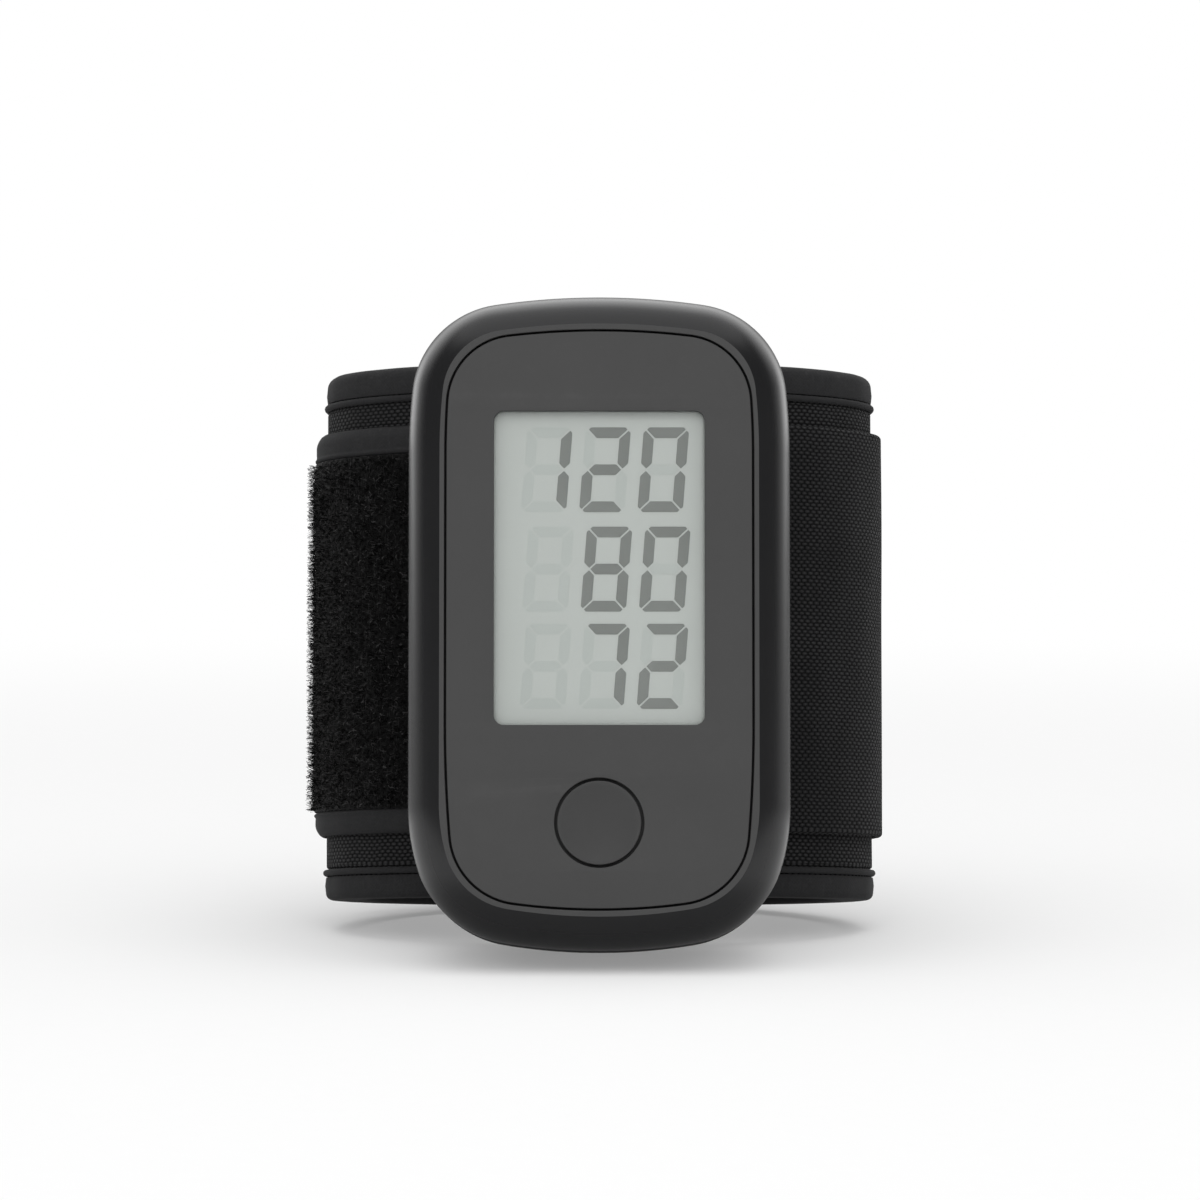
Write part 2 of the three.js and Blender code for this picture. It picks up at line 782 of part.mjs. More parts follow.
function switchPieces() {
  const head = buttonRise + seatGap;
  const half = switchSide / 2;
  const centre = -buttonCentreDrop;
  const bore = depthRod(
    plungerRadius / 2 + seatGap,
    [switchFront - overrun, head + plungerLength + buttonTravel + seatGap],
    0,
    centre,
    smallRodSides,
  );
  const body = block([-half, half], [switchFront, switchBack], [centre - half, centre + half]);
  const plunger = turned([
    [0, head],
    [plungerRadius, head],
    [plungerRadius, plungerHeadBack],
    [plungerRadius / 2, plungerHeadBack],
    [plungerRadius / 2, head + plungerLength],
    [0, head + plungerLength],
  ], 0, centre, smallRodSides);
  return [
    piece('switch_body', cut(body, bore), 'black'),
    piece('switch_plunger', plunger, 'white'),
  ];
}

function boardPieces() {
  const outline = caseOutline(frontWall + boardEdgeGap);
  const notches = corners.map(([x, z]) => depthRod(
    caseBossRadius + seatGap,
    [boardFront - overrun, boardBack + overrun],
    x * caseScrewAcross,
    z * caseScrewHeight,
    smallRodSides,
  ));
  const holes = corners.map(([x, z]) => depthRod(
    boardScrewRadius + screwFit,
    [boardFront - overrun, boardBack + overrun],
    x * boardScrewAcross,
    z * boardScrewHeight,
    smallRodSides,
  ));
  const headFront = boardBack + seatGap;
  const boardScrews = [[-1, 1], [1, -1]].map(([x, z], i) => piece(
    `board_screw_${i + 1}`,
    screw(
      boardScrewRadius,
      boardScrewHeadRadius,
      [headFront + boardScrewHeadThickness, headFront],
      boardFront - boardScrewBite,
      x * boardScrewAcross,
      z * boardScrewHeight,
    ),
    'steel',
  ));
  const sensorHalf = sensorSide / 2;
  const sensorBack = headFront + sensorThickness;
  const sensor = joined(
    block([-sensorAcross - sensorHalf, -sensorAcross + sensorHalf], [headFront, sensorBack],
      [-sensorDrop - sensorHalf, -sensorDrop + sensorHalf]),
    depthRod(airStubRadius, [sensorBack - overrun / 2, sensorBack + sensorNippleLength],
      -sensorAcross, -sensorDrop, smallRodSides),
  );
  return [
    piece('circuit_board', cut(slab(outline, boardFront, boardBack), ...notches, ...holes), 'board'),
    ...boardScrews,
    piece('pressure_sensor', sensor, 'black'),
    piece('buzzer', depthRod(buzzerRadius, [headFront, headFront + buzzerThickness],
      buzzerAcross, -buzzerDrop), 'black'),
  ];
}

// Battery door, its pin and the opening that it fills
const doorFront = rearShellFront + doorSideGap;
const doorOpeningBack = trayBack - trayWall;
const doorBack = doorOpeningBack - doorSideGap;

function batteryDoor() {
  const inner = caseWidth / 2 - doorThickness;
  const plate = slab(caseOutline(0), doorFront, doorBack).intersect(
    block([inner, caseWidth], [doorFront, doorBack], [doorPinZ, doorTopHeight]),
  );
  const barrel = depthRod(doorBarrelRadius, [doorFront, doorBack], doorPinX, doorPinZ);
  const pin = depthRod(
    doorPinRadius,
    [doorFront - doorSideGap - seatGap - doorPinReach, doorBack + doorSideGap + doorPinReach],
    doorPinX,
    doorPinZ,
    smallRodSides,
  );
  const grips = [1, 2, 3].map((row) => {
    const top = doorTopHeight - row * doorGripSpacing;
    return block([caseWidth / 2 - doorGripDepth, caseWidth], [doorFront - overrun,
      doorBack + overrun], [top - doorGripHeight, top]);
  });
  return joined(cut(plate, ...grips), barrel, pin);
}

function rearShell() {
  const shell = roundedSlab(caseOutline(0), rearShellFront - rearRound * 2, caseBack,
    rearRound, rearRound);
  const hollow = cut(
    shell,
    halfSpace(rearShellFront - rearRound * 3, rearShellFront),
    slab(caseOutline(sideWall), rearShellFront - overrun, rearWallFace),
  );
  const bosses = corners.map(([x, z]) => depthRod(
    caseBossRadius,
    [rearShellFront, rearWallFace + overrun / 2],
    x * caseScrewAcross,
    z * caseScrewHeight,
  ));
  const holes = corners.flatMap(([x, z]) => [
    depthRod(caseScrewRadius + screwFit, [rearShellFront - overrun, caseBack],
      x * caseScrewAcross, z * caseScrewHeight, smallRodSides),
    depthRod(caseScrewHeadRadius + screwFit,
      [caseBack - caseScrewSink - caseScrewHeadThickness - seatGap, caseBack + overrun],
      x * caseScrewAcross, z * caseScrewHeight),
    depthRod(saddleScrewRadius + screwFit, [rearWallFace - overrun, caseBack + overrun],
      x * saddleScrewAcross, z * saddleScrewHeight, smallRodSides),
  ]);
  const opening = block([caseWidth / 2 - sideWall - overrun, caseWidth],
    [rearShellFront - overrun, doorOpeningBack],
    [doorPinZ - doorFootGap, doorTopHeight + doorSideGap]);
  const socket = depthRod(doorPinRadius + doorPinFit,
    [doorOpeningBack - overrun, doorOpeningBack + doorPinReach + seatGap],
    doorPinX, doorPinZ, smallRodSides);
  const nippleHole = depthRod(nippleRadius + nippleFit, [rearWallFace - overrun,
    caseBack + overrun], -manifoldAcross, manifoldMiddle);
  return cut(joined(hollow, ...bosses), ...holes, opening, socket, nippleHole);
}

function caseScrews() {
  const headBack = caseBack - caseScrewSink;
  return corners.map(([x, z], i) => piece(
    `case_screw_${i + 1}`,
    screw(
      caseScrewRadius,
      caseScrewHeadRadius,
      [headBack, headBack - caseScrewHeadThickness],
      frontShellDepth - caseScrewBite,
      x * caseScrewAcross,
      z * caseScrewHeight,
    ),
    'steel',
  ));
}

function batteryTray() {
  const closedSide = trayOpenSide - trayWidth;
  const outside = block([closedSide, trayOpenSide], [trayFront, trayBack], [trayFoot, trayTop]);
  const inside = block([closedSide + trayWall, trayOpenSide + overrun],
    [trayFront + trayWall, trayBack - trayWall], [trayFoot + trayWall, trayTop - trayWall]);
  return cut(outside, inside);
}

// One cell with its spring at the low end; the other way up when end is -1.
function cellPieces(index, end, x) {
  const middle = -trayDrop;
  const at = (height) => middle + end * (height - trayLength / 2);
  const range = (a, b) => [at(a), at(b)].sort((p, q) => p - q);
  const base = seatGap + springLength + seatGap;
  const nub = base + batteryLength;
  const top = nub + batteryNubLength;
  const cell = joined(
    uprightRod(batteryRadius, range(base, nub), x, batteryDepth),
    uprightRod(batteryNubRadius, range(nub - overrun, top), x, batteryDepth, smallRodSides),
  );
  const cone = new THREE.CylinderGeometry(springTipRadius, springBaseRadius, springLength,
    smallRodSides);
  cone.rotateX((end * Math.PI) / 2);
  cone.translate(x, batteryDepth, at(seatGap + springLength / 2));
  const half = contactSide / 2;
  const plate = block([x - half, x + half], [batteryDepth - half, batteryDepth + half],
    range(top + seatGap, top + seatGap + contactThickness));
  return [
    piece(`battery_${index}`, cell, 'cell'),
    piece(`battery_spring_${index}`, solid(cone), 'steel'),
    piece(`battery_contact_${index}`, plate, 'steel'),
  ];
}

function airPieces() {
  const outletEnd = pumpTop + airStubLength;
  const head = joined(
    uprightRod(pumpRadius, [motorTop + seatGap, pumpTop], -pumpAcross, pumpDepth),
    uprightRod(airStubRadius, [pumpTop - overrun, outletEnd], -pumpAcross, pumpDepth, smallRodSides),
  );
  const half = manifoldSide / 2;
  const depth = rearWallFace - manifoldBehind;
  const manifoldBack = depth + half;
  const low = manifoldTop - manifoldHeight;
  const valveRight = -pumpAcross + valveWidth / 2;
  const hoseLoopHeight = outletEnd + hoseLoopRise;
  const manifold = joined(
    block([-manifoldAcross - half, -manifoldAcross + half], [depth - half, manifoldBack],
      [low, manifoldTop]),
    depthRod(airStubRadius, [depth, manifoldBack + overrun], -manifoldAcross,
      manifoldMiddle, smallRodSides),
    crossRod(airStubRadius, [valveRight + seatGap, -manifoldAcross], depth, manifoldMiddle,
      smallRodSides),
  );
  const valve = block([-pumpAcross - valveWidth / 2, valveRight],
    [rearWallFace - seatGap - valveDepth, rearWallFace - seatGap],
    [valveTop - valveHeight, valveTop]);
  const pumpHose = tube([
    new THREE.Vector3(-pumpAcross, pumpDepth, outletEnd + seatGap),
    new THREE.Vector3(-pumpAcross, pumpDepth, (outletEnd + hoseLoopHeight) / 2),
    new THREE.Vector3((-pumpAcross - manifoldAcross) / 2, (pumpDepth + depth) / 2, hoseLoopHeight),
    new THREE.Vector3(-manifoldAcross, depth, (outletEnd + hoseLoopHeight) / 2),
    new THREE.Vector3(-manifoldAcross, depth, motorTop),
    new THREE.Vector3(-manifoldAcross, depth, manifoldTop + seatGap),
  ], hoseRadius, hoseSides, hoseSteps);
  const sensorTip = boardBack + seatGap + sensorThickness + sensorNippleLength;
  const sensorHose = tube([
    new THREE.Vector3(-manifoldAcross, depth, low - seatGap),
    new THREE.Vector3(-manifoldAcross, depth, low - manifoldSide),
    new THREE.Vector3(-sensorAcross, (depth + sensorTip) / 2 + hoseRadius, -sensorDrop),
    new THREE.Vector3(-sensorAcross, sensorTip + seatGap, -sensorDrop),
  ], hoseRadius, hoseSides, hoseSteps);
  return [
    piece('pump_motor', uprightRod(pumpRadius, [motorTop - motorLength, motorTop], -pumpAcross,
      pumpDepth), 'steel'),
    piece('pump_head', head, 'white'),
    piece('release_valve', valve, 'black'),
    piece('air_manifold', manifold, 'white'),
    piece('air_hose_pump', pumpHose, 'rubber'),
    piece('air_hose_sensor', sensorHose, 'rubber'),
  ];
}

function saddlePieces() {
  const half = saddleWidth / 2;
  const front = caseBack + seatGap;
  const curve = [];
  for (let i = 0; i <= crownSteps; i += 1) {
    curve.push(cuffPoint(saddleReachAngle - (2 * saddleReachAngle * i) / crownSteps, seatGap));
  }
  const shape = new THREE.Shape([
    new THREE.Vector2(curve[crownSteps].x, front),
    new THREE.Vector2(curve[0].x, front),
    ...curve,
  ]);
  const body = upright(shape, -saddleHeight / 2, saddleHeight / 2);
  const holes = corners.map(([x, z]) => depthRod(saddleScrewRadius + screwFit,
    [front - overrun, cuffCentre], x * saddleScrewAcross, z * saddleScrewHeight, smallRodSides));
  const nippleHole = depthRod(nippleRadius + nippleFit, [front - overrun, cuffCentre],
    -manifoldAcross, manifoldMiddle);
  const wedge = Math.asin(saddleScrewAcross / cuffHalfWidth);
  const tip = cuffCentre - cuffFrontDepth * Math.cos(wedge) - seatGap - saddleScrewEndGap;
  const headBack = rearWallFace - seatGap;
  const screws = corners.map(([x, z], i) => piece(
    `saddle_screw_${i + 1}`,
    screw(saddleScrewRadius, saddleScrewHeadRadius,
      [headBack - saddleScrewHeadThickness, headBack], tip,
      x * saddleScrewAcross, z * saddleScrewHeight),
    'steel',
  ));
  return [piece('saddle_plate', cut(body, ...holes, nippleHole), 'darkGrey'), ...screws];
}

function cuffPieces() {
  const holeThrough = (outer) => depthRod(nippleRadius + nippleFit,
    [caseBack, cuffCentre + outer], -manifoldAcross, manifoldMiddle);
  const cover = cuffBand(-coverThickness, 0, coverBottom, coverTop);
  const stiffenerEnd = slotDepth - seatGap;
  const stiffener = cuffBand(stiffenerInner, stiffenerOuter,
    lowerBindingStart - stiffenerEnd, bindingStart + stiffenerEnd);
  const bag = upright(cuffStrip(bladderInner, bladderOuter, -bladderAngle, bladderAngle),
    coverBottom + bladderMargin, coverTop - bladderMargin);
  const manifoldBack = rearWallFace - manifoldBehind + manifoldSide / 2;
  const nippleFront = manifoldBack + overrun + seatGap;
  const nippleBack = cuffNose - bladderOuter + overrun / 2;
  const nipple = depthRod(nippleRadius, [nippleFront, nippleBack], -manifoldAcross,
    manifoldMiddle, smallRodSides);
  const bore = depthRod(nippleBore, [nippleFront - overrun, nippleBack - overrun],
    -manifoldAcross, manifoldMiddle, smallRodSides);
  return [
    piece('cuff_cover', cut(cover, holeThrough(0)), 'weave'),
    piece('cuff_stiffener', cut(stiffener, holeThrough(0)), 'white'),
    piece('air_bladder', cut(joined(bag, nipple), bore), 'film'),
    piece('cuff_lining', cuffBand(liningInner, liningOuter, coverBottom, coverTop), 'weave'),
    piece('cuff_binding_upper', cuffBinding(bindingStart, cuffTop), 'binding'),
    piece('cuff_binding_lower', cuffBinding(lowerBindingStart, -cuffBottom), 'binding'),
    piece('cuff_piping_upper', cuffPiping(pipingHeight), 'binding'),
    piece('cuff_piping_lower', cuffPiping(lowerPipingHeight), 'binding'),
  ];
}

function wingPieces() {
  const wing = (inner, outer, start, end, bottom, top) => upright(
    cuffStrip(inner, outer, -end, -start), bottom, top);
  const bindingTop = wrapTop - wingBindingWidth;
  const bindingBottom = -wrapBottom + wingBindingWidth;
  return [
    piece('wing_backing', wing(wrapStandOff, wrapOuter, wrapStartAngle, wingEndAngle,
      bindingBottom + seatGap, bindingTop - seatGap), 'weave'),
    piece('wing_binding_upper', wing(wrapStandOff, wrapOuter, wrapStartAngle, wingEndAngle,
      bindingTop, wrapTop), 'binding'),
    piece('wing_binding_lower', wing(wrapStandOff, wrapOuter, wrapStartAngle, wingEndAngle,
      -wrapBottom, bindingBottom), 'binding'),
    piece('loop_pile_patch', wing(pileInner, pileOuter, pileStartAngle, pileEndAngle,
      bindingBottom + seatGap + pileMargin, bindingTop - seatGap - pileMargin), 'pile'),
  ];
}

// The strap lies on the cover, then climbs over the end of the wing.
function strapInner(angle) {
  const rise = THREE.MathUtils.smoothstep(angle, strapRiseStart, strapRiseEnd);
  return wrapStandOff + rise * (strapLifted - wrapStandOff);
}

function strapOuter(angle) {
  return strapInner(angle) + wrapThickness;
}

function strapPieces() {
  const names = ['strap_fixed', 'strap_tail_root', 'strap_tail_middle', 'strap_tail_end'];
  const ends = [wrapStartAngle, ...strapHingeAngles, strapEndAngle];
  const bands = names.map((name, i) => {
    const from = i > 0 ? ends[i] + angleOfLength(ends[i], seatGap / 2) : ends[i];
    const last = i === names.length - 1;
    const to = last ? ends[i + 1] : ends[i + 1] - angleOfLength(ends[i + 1], seatGap / 2);
    const shape = cuffStrip(strapInner, strapOuter, from, to);
    return piece(name, upright(shape, -wrapBottom, wrapTop), 'weave');
  });
  const hookShape = cuffStrip(hookInner, hookInner + hookThickness, hookStartAngle, strapEndAngle);
  const hook = upright(hookShape, -wrapBottom + hookMargin, wrapTop - hookMargin);
  const tabStart = strapEndAngle + angleOfLength(strapEndAngle, seatGap);
  const tabEnd = tabStart + angleOfLength(strapEndAngle, tabLength);
  const tab = upright(cuffStrip(strapLifted, strapLifted + tabThickness, tabStart, tabEnd),
    -wrapBottom + tabMargin, wrapTop - tabMargin);
  return [...bands, piece('hook_patch', hook, 'pile'), piece('pull_tab', tab, 'rubber')];
}

const upperGroup = new THREE.Group();
upperGroup.add(
  piece('front_shell', frontShell(), 'darkGrey'),
  piece('front_panel', frontPanel(), 'grey'),
  ...displayPieces(),
  piece('start_button', startButton(), 'grey'),
  ...switchPieces(),
  ...boardPieces(),
  piece('rear_shell', rearShell(), 'darkGrey'),
  ...caseScrews(),
  piece('battery_tray', batteryTray(), 'black'),
  ...cellPieces(1, 1, trayOpenSide - batteryRadius - seatGap),
  ...cellPieces(2, -1, trayOpenSide - batteryRadius - seatGap - batterySpacing),
  piece('battery_door', batteryDoor(), 'darkGrey'),
  ...airPieces(),
);

const cuffGroup = new THREE.Group();
cuffGroup.add(...saddlePieces(), ...cuffPieces(), ...wingPieces(), ...strapPieces());

// The case stands on the back edge of its lower end and on the cuff's rear rim.
const footDepth = caseBack - rearRound;
const rimDepth = cuffCentre + cuffRearDepth - bindingRound;
const lean = Math.atan2(caseHeight / 2 - cuffBottom, rimDepth - footDepth);

const leaned = new THREE.Group();
leaned.rotation.x = -lean;
leaned.add(upperGroup, cuffGroup);

const monitor = new THREE.Group();
monitor.add(leaned);
monitor.updateMatrixWorld(true);
const bounds = new THREE.Box3().setFromObject(monitor, true);
leaned.position.set(
  -(bounds.min.x + bounds.max.x) / 2,
  -(bounds.min.y + bounds.max.y) / 2,
  -bounds.min.z,
);
monitor.updateMatrixWorld(true);

export default monitor;
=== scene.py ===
import math
import random

import bmesh
import bpy
from mathutils import Matrix, Vector
from mathutils.geometry import tessellate_polygon


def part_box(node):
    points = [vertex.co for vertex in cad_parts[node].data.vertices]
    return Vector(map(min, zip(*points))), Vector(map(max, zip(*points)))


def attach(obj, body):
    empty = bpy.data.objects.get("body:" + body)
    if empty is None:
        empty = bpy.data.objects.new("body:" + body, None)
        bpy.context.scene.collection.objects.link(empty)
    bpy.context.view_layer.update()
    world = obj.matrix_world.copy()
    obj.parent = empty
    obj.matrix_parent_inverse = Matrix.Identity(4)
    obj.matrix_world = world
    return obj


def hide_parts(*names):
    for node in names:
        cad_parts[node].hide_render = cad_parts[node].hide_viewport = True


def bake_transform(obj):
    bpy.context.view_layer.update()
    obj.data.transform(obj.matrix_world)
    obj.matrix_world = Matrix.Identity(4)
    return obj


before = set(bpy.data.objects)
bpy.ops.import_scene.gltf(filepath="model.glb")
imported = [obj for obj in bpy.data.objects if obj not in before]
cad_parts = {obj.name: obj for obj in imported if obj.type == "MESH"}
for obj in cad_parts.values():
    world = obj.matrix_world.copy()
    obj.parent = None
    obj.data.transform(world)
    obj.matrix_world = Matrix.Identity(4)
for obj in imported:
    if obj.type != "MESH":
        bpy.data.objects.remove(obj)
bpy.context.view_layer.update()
print("frame loaded:", len(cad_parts), "nodes")

# Pieces are drawn upright in millimetres: x to the right, y from the display back
# through the wrist, z up the forearm. Then they lean back as the monitor stands.
millimetre = 0.001
quarterTurn, fullTurn = math.pi / 2, 2 * math.pi
stance = {"lean": 8.481606, "x": 0.739607, "y": -37.982103, "z": 45.538645}
standing = (
    Matrix.Scale(millimetre, 4)
    @ Matrix.Translation((stance["x"], stance["y"], stance["z"]))
    @ Matrix.Rotation(math.radians(-stance["lean"]), 4, "X")
)


def standPoint(x, y, z):
    return standing @ Vector((x, y, z))


def middleOf(node):
    low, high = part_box(node)
    return standing.inverted() @ ((low + high) / 2)


def tone(*screen):
    # a colour as it looks on a screen, 0 to 255, turned into shader values
    shares = [value / 255 for value in screen]
    return tuple(s / 12.92 if s <= 0.04045 else ((s + 0.055) / 1.055) ** 2.4 for s in shares) + (1.0,)


def shaded(colour, factor):
    return tuple(min(1.0, value * factor) for value in colour[:3]) + (1.0,)


# Shader nodes

def feed(tree, socket, value):
    # a socket takes a link from another node, or a plain value
    if isinstance(value, bpy.types.NodeSocket):
        tree.links.new(value, socket)
    else:
        socket.default_value = value


def addNode(tree, kind, inputs=(), **settings):
    node = tree.nodes.new("ShaderNode" + kind)
    for name, value in settings.items():
        setattr(node, name, value)
    for label, value in dict(inputs).items():
        feed(tree, node.inputs[label], value)
    return node


def addGroup(tree, group, inputs=()):
    return addNode(tree, "Group", inputs, node_tree=group).outputs


def mathNode(tree, operation, *values, clamp=False):
    return addNode(tree, "Math", enumerate(values), operation=operation, use_clamp=clamp).outputs[0]


def rangeNode(tree, value, fromLow, fromHigh, toLow=0.0, toHigh=1.0, way="LINEAR"):
    inputs = {"Value": value, "From Min": fromLow, "From Max": fromHigh, "To Min": toLow, "To Max": toHigh}
    return addNode(tree, "MapRange", inputs, interpolation_type=way).outputs["Result"]


def fade(tree, value, fromLow, fromHigh, toLow=0.0, toHigh=1.0):
    return rangeNode(tree, value, fromLow, fromHigh, toLow, toHigh, "SMOOTHSTEP")


def noiseNode(tree, vector, scale, detail=3.0, roughness=0.55):
    inputs = {"Vector": vector, "Scale": scale, "Detail": detail, "Roughness": roughness}
    return addNode(tree, "TexNoise", inputs).outputs["Fac"]


def mixColours(tree, amount, first, second):
    # sockets 0, 6 and 7 of a colour mix are the amount and the two colours, output 2 is the mix
    return addNode(tree, "Mix", {0: amount, 6: first, 7: second}, data_type="RGBA").outputs[2]


def splitVector(tree, vector):
    return addNode(tree, "SeparateXYZ", {0: vector}).outputs


def objectPlace(tree):
    return addNode(tree, "TexCoord").outputs["Object"]


def clothPlace(tree):
    return addNode(tree, "UVMap", uv_map="cloth").outputs["UV"]


def wave(tree, value, pitch):
    return mathNode(tree, "SINE", mathNode(tree, "MULTIPLY", value, fullTurn / pitch))


# Shader groups for the effects that several finishes share

def startGroup(name, inputs, outputs):
    # an input without a start value is a place on the cloth
    group = bpy.data.node_groups.new(name, "ShaderNodeTree")
    for label, value in inputs.items():
        kind = "NodeSocketVector" if value is None else "NodeSocketFloat"
        socket = group.interface.new_socket(label, in_out="INPUT", socket_type=kind)
        if value is not None:
            socket.default_value = value
    for label in outputs:
        group.interface.new_socket(label, in_out="OUTPUT", socket_type="NodeSocketFloat")
    return group, group.nodes.new("NodeGroupInput").outputs, group.nodes.new("NodeGroupOutput").inputs


def buildFineMottle():
    # moulded or painted surface: slow cloudiness and a fine grain, scales per metre
    scales = {"Cloud Scale": 60.0, "Grain Scale": 2500.0}
    group, given, found = startGroup("fineMottle", scales, ("Cloud", "Grain"))
    place = objectPlace(group)
    cloud = noiseNode(group, place, given["Cloud Scale"], detail=4.0, roughness=0.6)
    feed(group, found["Cloud"], rangeNode(group, cloud, 0.3, 0.7))
    feed(group, found["Grain"], noiseNode(group, place, given["Grain Scale"], detail=2.0, roughness=0.5))
    return group


def buildEdgeWearAndHighlight():
    # lighter patches along raised edges: scuffs, and a painted highlight on the edges
    group, given, found = startGroup("edgeWearAndHighlight", {"Spread": 0.06, "Patch Scale": 400.0}, ("WearAndHighlight",))
    point = addNode(group, "NewGeometry").outputs["Pointiness"]
    edge = fade(group, point, 0.505, mathNode(group, "ADD", 0.5, given["Spread"]))
    patch = noiseNode(group, objectPlace(group), given["Patch Scale"])
    patch = rangeNode(group, patch, 0.35, 0.65, toLow=0.25)
    feed(group, found["WearAndHighlight"], mathNode(group, "MULTIPLY", edge, patch, clamp=True))
    return group


def buildLint():
    # dust and stray lint that settles on what faces up
    group, given, found = startGroup("settledLint", {"Amount": 0.1, "Fleck Scale": 900.0}, ("Lint",))
    normal = splitVector(group, addNode(group, "NewGeometry").outputs["Normal"])
    facing = fade(group, normal["Z"], -0.2, 0.9, toLow=0.15)
    fleck = noiseNode(group, objectPlace(group), given["Fleck Scale"], detail=5.0, roughness=0.7)
    both = mathNode(group, "MULTIPLY", facing, rangeNode(group, fleck, 0.58, 0.74))
    feed(group, found["Lint"], mathNode(group, "MULTIPLY", both, given["Amount"], clamp=True))
    return group


def buildWeave():
    # plain weave: yarns cross over and under, so the raised crowns stand in staggered rows
    yarns = {"Cloth": None, "Across": 0.5, "Along": 0.5}
    group, given, found = startGroup("plainWeave", yarns, ("Crown", "Height"))
    # the yarns wander a little
    drift = {"Vector": given["Cloth"], "Scale": 0.35, "Detail": 2.0}
    wander = addNode(group, "TexNoise", drift).outputs["Color"]
    shift = {0: wander, 1: (0.35, 0.35, 0.0), 2: given["Cloth"]}
    place = splitVector(group, addNode(group, "VectorMath", shift, operation="MULTIPLY_ADD").outputs[0])
    rows = mathNode(group, "DIVIDE", place["Y"], given["Along"])
    odd = mathNode(group, "FLOORED_MODULO", mathNode(group, "FLOOR", rows), 2.0)
    columns = mathNode(group, "DIVIDE", place["X"], given["Across"])
    columns = mathNode(group, "ADD", columns, mathNode(group, "MULTIPLY", odd, 0.5))
    falls = []
    for turns, power in ((columns, 1.35), (rows, 1.9)):
        fromMiddle = mathNode(group, "SUBTRACT", mathNode(group, "FRACT", turns), 0.5)
        fromMiddle = mathNode(group, "ABSOLUTE", fromMiddle)
        fallen = mathNode(group, "POWER", mathNode(group, "MULTIPLY", fromMiddle, 2.0), power)
        falls.append(mathNode(group, "SUBTRACT", 1.0, fallen))
    height = mathNode(group, "MULTIPLY", *falls)
    feed(group, found["Crown"], fade(group, height, 0.08, 0.9))
    feed(group, found["Height"], height)
    return group


def buildFibreStreaks():
    # short fibres lying every way, as on brushed or knitted cloth
    group, given, found = startGroup("fibreStreaks", {"Cloth": None, "Fibre Scale": 4.0}, ("Streak",))
    ways = []
    for stretch in ((1.0, 0.22, 1.0), (0.25, 1.0, 1.0)):
        pair = {0: given["Cloth"], 1: stretch}
        scaled = addNode(group, "VectorMath", pair, operation="MULTIPLY").outputs[0]
        inputs = {"Vector": scaled, "Scale": given["Fibre Scale"], "Detail": 3.0, "Distortion": 1.2}
        ways.append(addNode(group, "TexNoise", inputs).outputs["Fac"])
    feed(group, found["Streak"], rangeNode(group, mathNode(group, "MAXIMUM", *ways), 0.45, 0.75))
    return group


fineMottle = buildFineMottle()
edgeWearAndHighlight = buildEdgeWearAndHighlight()
settledLint = buildLint()
plainWeave = buildWeave()
fibreStreaks = buildFibreStreaks()
print("shader groups built")


# Finishes

finishes = {}


def emptyTree(owner):
    owner.use_nodes = True
    owner.node_tree.nodes.clear()
    return owner.node_tree


def startFinish(name):
    finishes[name] = bpy.data.materials.new(name)
    tree = emptyTree(finishes[name])
    shader = addNode(tree, "BsdfPrincipled")
    addNode(tree, "OutputMaterial", {"Surface": shader.outputs["BSDF"]})
    return tree, shader


def setShader(tree, shader, values, height=None, bump=0.0):
    for label, value in values.items():
        feed(tree, shader.inputs[label], value)
    if height is not None:
        raised = addNode(tree, "Bump", {"Height": height, "Distance": bump, "Strength": 1.0})
        feed(tree, shader.inputs["Normal"], raised.outputs["Normal"])


def roughFrom(tree, grain, low, high):
    return rangeNode(tree, grain, 0.3, 0.7, low, high)


def mouldedFinish(name, value):
    # moulded plastic, paint, glass or rubber: cloudy colour, edges lightened by scuffs and a painted highlight,
    # lint and a fine grain
    tree, shader = startFinish(name)
    mottle = addGroup(tree, fineMottle, {"Cloud Scale": value["cloud"], "Grain Scale": value["grain"]})
    rubbedAndHighlit = addGroup(tree, edgeWearAndHighlight, {"Spread": value["spread"]})["WearAndHighlight"]
    lint = addGroup(tree, settledLint, {"Amount": value["lint"]})["Lint"]
    colour, vary, rough, spread = value["colour"], value["vary"], value["roughness"], value["roughVary"]
    base = mixColours(tree, mottle["Cloud"], shaded(colour, 1 - vary), shaded(colour, 1 + vary))
    # painted highlight with scuffs: raised edges turn lighter than the colour
    wornAndHighlit = mathNode(tree, "MULTIPLY", rubbedAndHighlit, value["wearAndHighlight"])
    base = mixColours(tree, wornAndHighlit, base, shaded(colour, value["rubbedAndHighlit"]))
    base = mixColours(tree, lint, base, value["lintTone"])
    rough = roughFrom(tree, mottle["Grain"], rough - spread, rough + spread)
    surface = {"Base Color": base, "Roughness": rough, "Specular IOR Level": value["specular"]}
    setShader(tree, shader, surface, mottle["Grain"], value["bump"])


